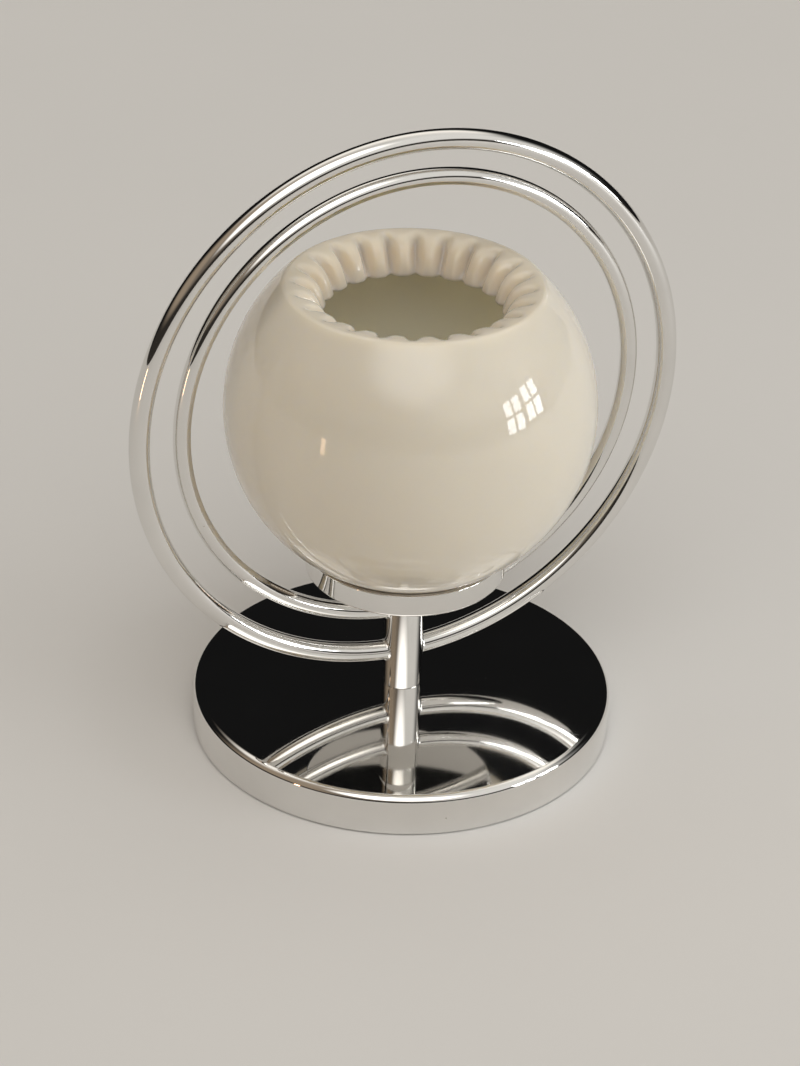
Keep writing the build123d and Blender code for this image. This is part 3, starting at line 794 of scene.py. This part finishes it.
class LAMP_OT_stem(bpy.types.Operator):
    """Chrome stem with the threaded pipe, bushes, nuts and washers inside it"""

    bl_idname = "lamp.stem"
    bl_label = "Stem"

    def execute(self, context):
        sizes = context.scene.lamp_sizes
        finish = context.scene.lamp_finishes
        radius = stem_high.x
        bore = radius - sizes.stem_wall
        stem = turned("stem", rounded([
            (radius, stem_low.z, sizes.stem_edge), (radius, stem_high.z, sizes.stem_edge),
            (bore, stem_high.z, 0), (bore, stem_low.z, 0),
        ]))
        polish = chrome_plate("stem_chrome", finish, (1.0, 1.0, 0.03))
        seat_on(stem, polish, "chrome", "stand", "stem_tube")
        plated = worked_metal("zinc_plate", finish.steel, 0.25, 0.42, 0.2)
        self.pipe(sizes, plated)
        for node in ("base_lock_nut", "cup_nut"):
            self.nut(node, plated)
        dress_nodes(plated, "stem_foot_bush", "stem_head_bush", "base_washer", "cup_washer")
        return {"FINISHED"}

    def pipe(self, sizes, plated):
        """The central pipe with its fine thread."""
        wall = 1.0 * MM
        rows_per_turn = 4
        bore = pipe_high.x - wall
        rows = int((pipe_high.z - pipe_low.z) / sizes.pipe_pitch * rows_per_turn)
        side = upright(pipe_high.x, pipe_low.z, pipe_high.z, rows)
        pipe = turned("threaded_pipe", side + [(bore, pipe_high.z), (bore, pipe_low.z)], steps=48)
        run_tree(pipe, thread_tree(), pitch=sizes.pipe_pitch, depth=sizes.pipe_thread_depth,
                 bottom=pipe_low.z + sizes.pipe_pitch, top=pipe_high.z - sizes.pipe_pitch, metal=plated)
        seat_on(pipe, plated, "steel", "stand", "lamp_pipe")

    def nut(self, node, plated):
        """A hexagon nut with chamfered corners."""
        low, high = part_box(node)
        flats = high.y
        corner = flats / math.cos(math.pi / 6)
        steps = 96
        chamfer = 0.5 * MM
        face_inset = 0.02 * MM
        rings = [(PIPE_BORE, low.z, 0), (flats, low.z, 0), (corner, low.z + chamfer, 1),
                 (corner, high.z - chamfer, 1), (flats, high.z, 0), (PIPE_BORE, high.z, 0)]
        points = []
        for reach, height, hexagon in rings:
            for step in range(steps):
                turn = 2 * math.pi * step / steps
                from_flat = (turn - math.pi / 2 + math.pi / 6) % (math.pi / 3) - math.pi / 6
                side = flats / math.cos(from_flat)
                if reach > PIPE_BORE and not hexagon:
                    side -= face_inset
                distance = min(reach, side)
                points.append((distance * math.cos(turn), distance * math.sin(turn), height))
        name = node + "_hex"
        nut = new_object(name, mesh_from(name, points, grid_faces(len(rings), steps, True)))
        seat_on(nut, plated, "steel", "stand", node)


class LAMP_OT_rings(bpy.types.Operator):
    """Two bent chrome rings and the brazed fillets at their ends"""

    bl_idname = "lamp.rings"
    bl_label = "Rings"

    def execute(self, context):
        sizes = context.scene.lamp_sizes
        finish = context.scene.lamp_finishes
        polish = chrome_plate("ring_chrome", finish, EVEN)
        braze = worked_metal("plated_braze", shade(finish.chrome, 0.95), 0.08, 0.22, 0.3)
        for node in ("outer_ring", "inner_ring"):
            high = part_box(node)[1]
            bar = high.y
            radius = high.x - bar
            centre = high.z - high.x
            name = node.replace("_", "_bent_")
            ring = new_object(name, self.ring(name, sizes, bar, radius, centre))
            seat_on(ring, polish, "chrome", "stand", node)
            name = node + "_brazes"
            fillets = new_object(name, self.brazes(name, sizes, bar, radius, centre))
            seat_on(fillets, braze, "chrome", "stand")
        return {"FINISHED"}

    def ring(self, name, sizes, bar, radius, centre):
        """A round bar bent in the XZ plane, with its ends in the stem."""
        end = math.asin((stem_high.x - sizes.ring_end_inset) / radius)
        rows = 420
        columns = 48
        points = []
        for row in range(rows + 1):
            turn = end + (2 * math.pi - 2 * end) * row / rows
            for column in range(columns):
                round_bar = 2 * math.pi * column / columns
                reach = radius + bar * math.cos(round_bar)
                height = centre - reach * math.cos(turn)
                points.append((reach * math.sin(turn), bar * math.sin(round_bar), height))
        faces = grid_faces(rows + 1, columns, False)
        faces.append(tuple(range(columns)))
        faces.append(tuple(range(rows * columns, (rows + 1) * columns)))
        return mesh_from(name, points, faces)

    def brazes(self, name, sizes, bar, radius, centre):
        """An uneven concave fillet round each end of the bar where it meets the stem."""
        stem = stem_high.x
        columns = 72
        steps = 6
        points = []
        faces = []
        for side in (1, -1):
            start = len(points)
            for column in range(columns):
                turn = 2 * math.pi * column / columns
                leg = sizes.braze_leg * self.unevenness(turn, side, bar)
                on_bar = self.on_ring(bar, radius, centre, turn, stem + leg)
                corner = self.on_ring(bar, radius, centre, turn, stem)
                on_stem = self.on_ring(bar + leg, radius, centre, turn, stem)
                for step in range(steps + 1):
                    t = step / steps
                    place = on_bar * (1 - t) ** 2 + corner * (2 * t * (1 - t)) + on_stem * t**2
                    points.append((side * place.x, place.y, place.z))
            for column in range(columns):
                beside = (column + 1) % columns
                for step in range(steps):
                    first = start + column * (steps + 1) + step
                    second = start + beside * (steps + 1) + step
                    quad = (first, first + 1, second + 1, second)
                    faces.append(quad if side > 0 else quad[::-1])
        return mesh_from(name, points, faces, outward=False)

    def unevenness(self, turn, side, bar):
        """How much larger or smaller a fillet is at a turn, in coarse and fine waves."""
        waves = 2.2
        side_apart = 3.7
        bar_apart = 900
        coarse, fine, finer = 0.45, 0.2, 3.1
        seed = Vector((waves * math.cos(turn), waves * math.sin(turn), side * side_apart + bar * bar_apart))
        return 1 + coarse * noise.noise(seed) + fine * noise.noise(seed * finer)

    def on_ring(self, bar, radius, centre, turn, stem):
        """Point of a bar's surface at a turn round the bar, where it leaves a stem of that radius."""
        aside = bar * math.sin(turn)
        reach = radius + bar * math.cos(turn)
        along = math.asin(math.sqrt(max(stem**2 - aside**2, 0)) / reach)
        return Vector((reach * math.sin(along), aside, centre - reach * math.cos(along)))


class LAMP_OT_cup(bpy.types.Operator):
    """Shallow chrome cup under the globe, and the soft ring in it"""

    bl_idname = "lamp.cup"
    bl_label = "Cup"

    def execute(self, context):
        sizes = context.scene.lamp_sizes
        finish = context.scene.lamp_finishes
        radius = cup_high.x
        inside = radius - sizes.cup_wall
        floor = cup_low.z + sizes.cup_wall
        rim = 0.5 * MM
        outline = rounded([
            (PIPE_HOLE, cup_low.z, 0), (radius, cup_low.z, sizes.cup_corner), (radius, cup_high.z, rim),
            (inside, cup_high.z, rim), (inside, floor, rim), (PIPE_HOLE, floor, 0),
        ], steps=8)
        polish = chrome_plate("cup_chrome", finish, (0.05, 0.05, 1.0))
        seat_on(turned("cup", outline, steps=256), polish, "chrome", "stand", "shade_cup")
        ring = turned("soft_seat", self.dished_ring(sizes))
        seat_on(ring, soft_rubber("pale_rubber", finish.seat), "seat_rubber", "seat", "seat_ring")
        return {"FINISHED"}

    def dished_ring(self, sizes):
        """Outline of the soft ring, dished to the ball of the globe."""
        land = 1.5 * MM
        soft = 0.5 * MM
        hole = cup_high.x - sizes.cup_wall - sizes.hole_inset
        bore = hole - land
        dish = globe_high.x + sizes.seat_gap
        centre = globe_centre(sizes)
        low = math.atan2(-math.sqrt(dish**2 - hole**2), hole)
        high = math.asin((seat_high.z - centre) / dish)
        outline = arc_points((0, centre), dish, low, high, steps=6)
        outline += [(seat_high.x - soft, seat_high.z), (seat_high.x, seat_high.z - soft)]
        outline += [(seat_high.x, seat_low.z + soft), (seat_high.x - soft, seat_low.z)]
        outline += [(bore + soft, seat_low.z), (bore, seat_low.z + soft)]
        outline += [(bore, outline[0][1] - soft), (bore + soft, outline[0][1])]
        return outline


class LAMP_OT_globe(bpy.types.Operator):
    """Opal glass globe with a turned-in lip and a fluted collar"""

    bl_idname = "lamp.globe"
    bl_label = "Globe"

    def execute(self, context):
        sizes = context.scene.lamp_sizes
        glass = opal_glass(context.scene.lamp_finishes)
        outline, shifts = self.outline(sizes)
        mesh = bpy.data.meshes.new("opal_globe")
        points = turned_points(outline, GLOBE_STEPS)
        mesh.from_pydata(points, [], grid_faces(len(outline), GLOBE_STEPS, True))
        # The third value marks the inside of the globe, painted paler as painted light
        for index, label in enumerate(("ridge_in", "ridge_up", "painted_inner_light")):
            values = [shift[index] for shift in shifts for _ in range(GLOBE_STEPS)]
            mesh.attributes.new(label, "FLOAT", "POINT").data.foreach_set("value", values)
        globe = new_object("opal_globe", mesh)
        run_tree(globe, flute_tree(), lobes=sizes.lobe_count, first_lobe=sizes.first_lobe,
                 fullness=sizes.lobe_fullness, glass=glass)
        for label in ("ridge_in", "ridge_up"):
            globe.data.attributes.remove(globe.data.attributes[label])
        face_outwards(globe.data, merge=False)
        smooth(globe.data)
        seat_on(globe, glass, "opal_glass", "globe", "glass_globe")
        return {"FINISHED"}

    def outline(self, sizes):
        """The closed outline of the glass in a groove, and for each point its shift inwards and upwards
        at a lobe's crest and whether it lies inside the globe, where the glass is painted paler as painted
        light."""
        ball = globe_high.x
        hollow = ball - sizes.globe_wall
        centre = globe_centre(sizes)
        edge = sizes.hole_edge
        hole = cup_high.x - sizes.cup_wall - sizes.hole_inset + edge
        crest = globe_high.z
        lip_rise = math.sqrt(ball**2 - sizes.lip_radius**2)
        lip_turn = math.atan2(lip_rise, sizes.lip_radius)
        outer_drop = -math.sqrt((ball - edge) ** 2 - hole**2)
        inner_drop = -math.sqrt((hollow + edge) ** 2 - hole**2)
        outer_turn = math.atan2(outer_drop, hole)
        inner_turn = math.atan2(inner_drop, hole)
        plain = arc_points((hole, centre + outer_drop), edge, -math.pi, outer_turn, steps=5)
        plain += arc_points((0, centre), ball, outer_turn, lip_turn, steps=72)[1:]
        share = 1 - sizes.lip_round / ball
        lip = (sizes.lip_radius * share, centre + lip_rise * share)
        plain += arc_points(lip, sizes.lip_round, lip_turn, math.pi / 2, steps=8)[1:]
        groove = self.flute(GROOVE, GROOVE_FOOT, lip[0], crest, sizes)[1:]
        ridge = self.flute(RIDGE, RIDGE_FOOT, lip[0], crest, sizes)[1:]
        shifts = [(0.0, 0.0, 0.0)] * len(plain)
        shifts += [(g[0] - r[0], r[1] - g[1], 0.0) for g, r in zip(groove, ridge)]
        back = self.back(groove[-1], shifts[-1], hollow, centre, crest)
        shifts += [shift for _, shift in back]
        plain += groove + [place for place, _ in back]
        high = back[-1][0]
        high_turn = math.atan2(high[1] - centre, high[0])
        hidden = arc_points((0, centre), hollow, high_turn, inner_turn, steps=48)
        hidden += arc_points((hole, centre + inner_drop), edge, inner_turn + math.pi, math.pi, steps=5)[1:]
        plain += hidden[1:]
        shifts += [(0.0, 0.0, 1.0)] * (len(hidden) - 1)
        return plain, shifts

    def flute(self, places, foot, lip_radius, crest, sizes):
        """A smooth line down the collar, from the lip to the foot."""
        line = [(lip_radius, crest)]
        line += [(radius * MM, crest - depth * MM) for radius, depth in places]
        line.append((foot * MM, crest - sizes.collar_depth))
        return curve_through(line, steps=6)

    def back(self, foot, foot_shift, hollow, centre, crest):
        """The collar's rounded foot and its plain outside, up to the inside of the ball."""
        edge = 1.6 * MM
        lip_depth = 4.2 * MM
        top_radius = 55.7 * MM
        under = crest - lip_depth
        top = (top_radius, under)
        steps = 10
        line = []
        for place in arc_points((foot[0] + edge, foot[1]), edge, math.pi, 2 * math.pi, steps=8)[1:]:
            line.append((place, (*foot_shift[:2], 1.0)))
        start = line[-1][0]
        for step in range(1, steps + 1):
            t = step / steps
            fade = (1 - t) ** 2
            place = (start[0] + (top[0] - start[0]) * t, start[1] + (top[1] - start[1]) * t)
            line.append((place, (foot_shift[0] * fade, foot_shift[1] * fade, 1.0)))
        line.append(((math.sqrt(hollow**2 - (under - centre) ** 2), under), (0.0, 0.0, 1.0)))
        return line


class LAMP_OT_holder(bpy.types.Operator):
    """Lampholder: moulded cap and body, brass screw shell and contacts"""

    bl_idname = "lamp.holder"
    bl_label = "Lampholder"

    def execute(self, context):
        sizes = context.scene.lamp_sizes
        finish = context.scene.lamp_finishes
        dark = moulding(finish)
        brass = worked_metal("bare_brass", finish.brass, 0.2, 0.38, 0.15)
        self.cap(dark)
        self.body(sizes, dark)
        self.screw_shell(sizes, brass)
        dress_nodes(dark, "terminal_block")
        dress_nodes(brass, "terminal_screws", "centre_contact")
        dark_steel = worked_metal("dark_steel", shade(finish.steel, 0.5), 0.3, 0.5, 0.2)
        dress_nodes(dark_steel, "holder_grub_screw")
        return {"FINISHED"}

    def cap(self, dark):
        """Bell-shaped cap on the pipe."""
        radius = holder_cap_high.x
        wall = 2.2 * MM
        boss = 9.0 * MM
        low = holder_cap_low.z
        shoulder = low + 11.2 * MM
        waist = low + 6.8 * MM
        foot_round, waist_round, shoulder_round = 0.6 * MM, 2.0 * MM, 3.0 * MM
        rim_round, corner_round, floor_round = 0.3 * MM, 1.0 * MM, 0.5 * MM
        cap = turned("lampholder_cap", rounded([
            (PIPE_BORE, low, 0), (boss, low, foot_round), (boss, waist, waist_round),
            (radius, shoulder, shoulder_round), (radius, holder_cap_high.z, rim_round),
            (radius - wall, holder_cap_high.z, 0), (radius - wall, shoulder + wall, corner_round),
            (boss, low + boss, floor_round), (PIPE_BORE, low + boss, 0),
        ]), steps=128)
        seat_on(cap, dark, "bakelite", "stand", "holder_cap")

    def body(self, sizes, dark):
        """Skirt of the lampholder with grip ribs."""
        low = holder_low.z
        joint = holder_cap_high.z
        edge, top_round, mouth_round = 0.4 * MM, 1.2 * MM, 0.5 * MM
        spigot_step, wall, clearance, lip = 2.25 * MM, 2.2 * MM, 0.3 * MM, 1.6 * MM
        spigot = holder_high.x - spigot_step
        bore = spigot - wall
        mouth = shell_high.x + clearance
        ceiling = holder_high.z - lip
        rib_depth = 0.45 * MM
        rib_half_width = 0.8 * MM
        rib_share = 0.62
        skin = holder_high.x - rib_depth
        body = turned("lampholder_skirt", rounded([
            (spigot, low, edge), (spigot, joint, 0), (skin, joint, edge), (skin, holder_high.z, top_round),
            (mouth, holder_high.z, mouth_round), (mouth, ceiling, 0), (bore, ceiling, 0), (bore, low, edge),
        ]), steps=160)
        seat_on(body, dark, "bakelite", "stand", "holder_body")
        rib = self.rib(rib_depth, rib_half_width, (holder_high.z - joint) * rib_share)
        ribs = new_object("lampholder_ribs", rib)
        run_tree(ribs, rib_tree(), count=sizes.grip_ribs, radius=skin,
                 height=(joint + holder_high.z) / 2, moulding=dark)
        seat_on(ribs, dark, "bakelite", "stand")

    def rib(self, depth, half_width, tall):
        """One upright rib with a round front, standing at the origin and facing +X."""
        levels = ((-0.5, 0.0), (-0.47, 1.0), (0.47, 1.0), (0.5, 0.0))
        columns = 8
        sunk = -0.2 * MM
        points = []
        for level, share in levels:
            for column in range(columns):
                turn = math.pi * (column / (columns - 1) - 0.5)
                points.append((depth * share * math.cos(turn), half_width * math.sin(turn), tall * level))
            points.append((sunk, half_width, tall * level))
            points.append((sunk, -half_width, tall * level))
        across = columns + 2
        faces = grid_faces(len(levels), across, False)
        faces.append(tuple(range(across)))
        faces.append(tuple(range(3 * across, 4 * across)))
        return mesh_from("lampholder_rib", points, faces)

    def screw_shell(self, sizes, brass):
        """Brass shell with the round thread that takes the bulb."""
        wall = 0.4 * MM
        hole = 8.0 * MM
        depth = 0.35 * MM
        side = upright(shell_high.x, shell_low.z, shell_high.z, rows=96)
        inner = [(r - wall, z + (wall if row == 0 else 0)) for row, (r, z) in enumerate(side)]
        outline = [(hole, shell_low.z)] + side + inner[::-1] + [(hole, shell_low.z + wall)]
        shell = turned("screw_shell", outline, steps=96)
        run_tree(shell, thread_tree(), pitch=sizes.thread_pitch, depth=depth, metal=brass,
                 bottom=shell_low.z + sizes.thread_pitch, top=shell_high.z - sizes.thread_pitch * 0.5)
        seat_on(shell, brass, "brass", "stand", "holder_screw_shell")


class LAMP_OT_bulb(bpy.types.Operator):
    """Small round bulb with its screw cap"""

    bl_idname = "lamp.bulb"
    bl_label = "Bulb"

    def execute(self, context):
        finish = context.scene.lamp_finishes
        nickel = worked_metal("nickel_plate", finish.nickel, 0.18, 0.34, 0.12)
        self.cap(context.scene.lamp_sizes, nickel)
        self.glass(finish)
        dress_nodes(nickel, "bulb_tip_contact")
        dress_nodes(lamp_glass("black_glass", finish.black_glass, 0.0, 0.08, 0.2), "bulb_insulator")
        dress_nodes(lamp_glass("clear_glass", finish.clear_glass, 0.9, 0.02, 0.08), "bulb_stem")
        dress_nodes(worked_metal("tungsten", finish.tungsten, 0.3, 0.5, 0.2), "bulb_filament")
        return {"FINISHED"}

    def cap(self, sizes, nickel):
        """Threaded cap, a little waisted by its thread."""
        wall = 0.3 * MM
        plain_top = 5.0 * MM
        side = upright(bulb_cap_high.x, bulb_cap_low.z, bulb_cap_high.z, rows=80)
        inner = [(r - wall, z) for r, z in side]
        cap = turned("bulb_screw_cap", side + inner[::-1], steps=96)
        run_tree(cap, thread_tree(), pitch=sizes.thread_pitch, depth=sizes.thread_depth, metal=nickel,
                 bottom=bulb_cap_low.z + sizes.thread_pitch * 0.5, top=bulb_cap_high.z - plain_top)
        seat_on(cap, nickel, "cap_metal", "bulb", "bulb_cap")

    def glass(self, finish):
        """Frosted glass: a ball on a narrow neck, drawn outside and inside."""
        ball = bulb_high.x
        centre = bulb_high.z - ball
        neck = 12.4 * MM
        blend_round = 12.0 * MM
        wall = 0.9 * MM
        sides = []
        for inset in (0.0, wall):
            r_ball = ball - inset
            r_blend = blend_round + inset
            r_neck = neck - inset
            drop = math.sqrt((r_ball + r_blend) ** 2 - (r_neck + r_blend) ** 2)
            lean = math.atan2(drop, -(r_neck + r_blend))
            side = [(r_neck, bulb_low.z)]
            side += arc_points((r_neck + r_blend, centre - drop), r_blend, math.pi, lean, steps=14)
            side += arc_points((0, centre), r_ball, lean - math.pi, math.pi / 2, steps=48)[1:]
            sides.append(side)
        bulb = turned("frosted_bulb", sides[0] + sides[1][::-1], steps=128)
        frosted = lamp_glass("frosted_glass", finish.frosted, 0.35, 0.35, 0.5)
        seat_on(bulb, frosted, "bulb_glass", "bulb", "bulb_glass")


class LAMP_OT_stage(bpy.types.Operator):
    """Pale floor, studio light and the camera"""

    bl_idname = "lamp.stage"
    bl_label = "Stage"

    def execute(self, context):
        scene = context.scene
        studio = scene.lamp_studio
        scene.view_settings.view_transform = "Standard"
        self.floor(scene.lamp_finishes)
        self.room(scene, studio)
        self.window(studio)
        self.warm_light(studio)
        self.camera(scene, studio)
        return {"FINISHED"}

    def floor(self, finish):
        """A wide round floor."""
        radius = 12.0
        steps = 96
        mesh = bpy.data.meshes.new("floor")
        mesh.from_pydata(turned_points([(radius, 0)], steps), [], [tuple(range(steps))])
        mesh.materials.append(floor_paint(finish))
        new_object("floor", mesh)

    def room(self, scene, studio):
        """The light of the room: soft zones, each laid over the ones before it."""
        world = bpy.data.worlds.new("studio")
        scene.world = world
        world.use_nodes = True
        tree = world.node_tree
        place = tree.nodes.new("ShaderNodeTexCoord")
        up = Vector((0, 0, 1))
        ahead = Vector((-math.sin(studio.azimuth), math.cos(studio.azimuth), 0))
        aside = Vector((ahead.y, -ahead.x, 0))
        toward_camera = up * math.sin(studio.elevation) - ahead * math.cos(studio.elevation)
        toward_key = (aside * 0.66 - ahead * 0.48 + up * 0.58).normalized()
        above = (up * 0.79 - ahead * 0.61).normalized()
        behind = (ahead, -0.15, 0.45)
        # The light of each zone, and the directions in which it sets in, with where it starts and is full
        zones = (
            (studio.pale_wall, (aside, -0.7, 0.7)),
            (studio.dim_wall, (toward_camera, 0.72, 0.96)),
            (studio.key_wall, (toward_key, 0.62, 0.97)),
            (studio.horizon, (up, 0.36, 0.16)),
            (studio.back_ceiling, behind, (up, 0.62, 0.80)),
            (studio.dark_wall, behind, (up, 0.80, 0.62)),
            (Vector(studio.overhead_tint) * studio.overhead, (above, 0.85, 0.995)),
        )
        room = studio.warm_wall
        for tone, *limits in zones:
            shares = [self.share_along(tree, place, *limit) for limit in limits]
            share = maths(tree, "MULTIPLY", *shares) if len(shares) > 1 else shares[0]
            room = blend(tree, share, room, tone)
        sky = tree.nodes["Background"]
        set_values(sky, Strength=studio.fill)
        feed(sky, Color=room)

    def share_along(self, tree, place, direction, low, high):
        """A soft step along a direction of the room."""
        dot = tree.nodes.new("ShaderNodeVectorMath")
        dot.operation = "DOT_PRODUCT"
        dot.inputs[1].default_value = direction
        tree.links.new(place.outputs["Generated"], dot.inputs[0])
        step = tree.nodes.new("ShaderNodeMapRange")
        step.interpolation_type = "SMOOTHSTEP"
        set_values(step, From_Min=low, From_Max=high)
        feed(step, Value=dot.outputs["Value"])
        return step.outputs["Result"]

    def panel(self, name, centre, size, material):
        """A flat upright light panel that faces the lamp's axis."""
        facing = Vector((-centre[0], -centre[1], 0)).to_track_quat("Z", "Y").to_matrix().to_4x4()
        place = Matrix.Translation(centre) @ facing
        x, y = size[0] / 2, size[1] / 2
        mesh = bpy.data.meshes.new(name)
        corners = ((-x, -y, 0), (x, -y, 0), (x, y, 0), (-x, y, 0))
        mesh.from_pydata([place @ Vector(corner) for corner in corners], [], [(0, 1, 2, 3)])
        mesh.materials.append(material)
        new_object(name, mesh)

    def window(self, studio):
        """A window of two casements at the front right, one a little higher: the main light."""
        glass = glow("window_light", studio.window_tint, studio.window)
        middle = Vector((1.62, -1.38, 0.56))
        across = Vector((middle.y, -middle.x, 0)).normalized()
        pane = (0.19, 0.30)
        bar = 0.06
        step_up = 0.06
        for column in range(2):
            casement = middle + across * (column - 0.5) * (pane[0] * 2 + bar * 3)
            for row in range(2):
                for side, half in (("left", -0.5), ("right", 0.5)):
                    place = casement + across * half * (pane[0] + bar)
                    place.z += (row - 0.5) * (pane[1] + bar) + (0.5 - column) * step_up
                    self.panel(f"pane_{column}_{row}_{side}", place, pane, glass)

    def warm_light(self, studio):
        """A small warm light at the left."""
        warm = glow("warm_light", studio.warm_tint, studio.warm)
        place = (-0.96, -0.294, 0.095)
        size = (0.05, 0.16)
        self.panel("warm_side", place, size, warm)

    def camera(self, scene, studio):
        """The photograph's viewing angle."""
        data = bpy.data.cameras.new("camera")
        data.lens = studio.lens
        eye = bpy.data.objects.new("camera", data)
        scene.collection.objects.link(eye)
        level = math.cos(studio.elevation)
        back = Vector((
            math.sin(studio.azimuth) * level, -math.cos(studio.azimuth) * level, math.sin(studio.elevation)
        ))
        turn = back.to_track_quat("Z", "Y").to_matrix().to_4x4() @ Matrix.Rotation(studio.roll, 4, "Z")
        eye.matrix_world = Matrix.Translation(Vector(studio.aim) + back * studio.distance) @ turn
        scene.camera = eye


class LAMP_PT_panel(bpy.types.Panel):
    """Lists the lamp's pieces in the sidebar"""

    bl_label = "Lamp"
    bl_idname = "LAMP_PT_panel"
    bl_space_type = "VIEW_3D"
    bl_region_type = "UI"
    bl_category = "Lamp"

    def draw(self, context):
        for operator in OPERATORS:
            self.layout.operator(operator.bl_idname)
        for group in ("lamp_sizes", "lamp_finishes", "lamp_studio"):
            box = self.layout.box()
            settings = getattr(context.scene, group)
            for key in settings.__annotations__:
                box.prop(settings, key)


OPERATORS = (
    LAMP_OT_base, LAMP_OT_stem, LAMP_OT_rings, LAMP_OT_cup, LAMP_OT_globe, LAMP_OT_holder, LAMP_OT_bulb,
    LAMP_OT_stage,
)
CLASSES = (LampSizes, LampFinishes, LampStudio, *OPERATORS, LAMP_PT_panel)


def register():
    for made in CLASSES:
        bpy.utils.register_class(made)
    bpy.types.Scene.lamp_sizes = PointerProperty(type=LampSizes)
    bpy.types.Scene.lamp_finishes = PointerProperty(type=LampFinishes)
    bpy.types.Scene.lamp_studio = PointerProperty(type=LampStudio)


def unregister():
    del bpy.types.Scene.lamp_studio
    del bpy.types.Scene.lamp_finishes
    del bpy.types.Scene.lamp_sizes
    for made in reversed(CLASSES):
        bpy.utils.unregister_class(made)


def main():
    register()
    bpy.ops.lamp.base()
    bpy.ops.lamp.stem()
    bpy.ops.lamp.rings()
    bpy.ops.lamp.cup()
    bpy.ops.lamp.globe()
    bpy.ops.lamp.holder()
    bpy.ops.lamp.bulb()
    bpy.ops.lamp.stage()
    bpy.context.view_layer.update()


if __name__ == "__main__":
    main()
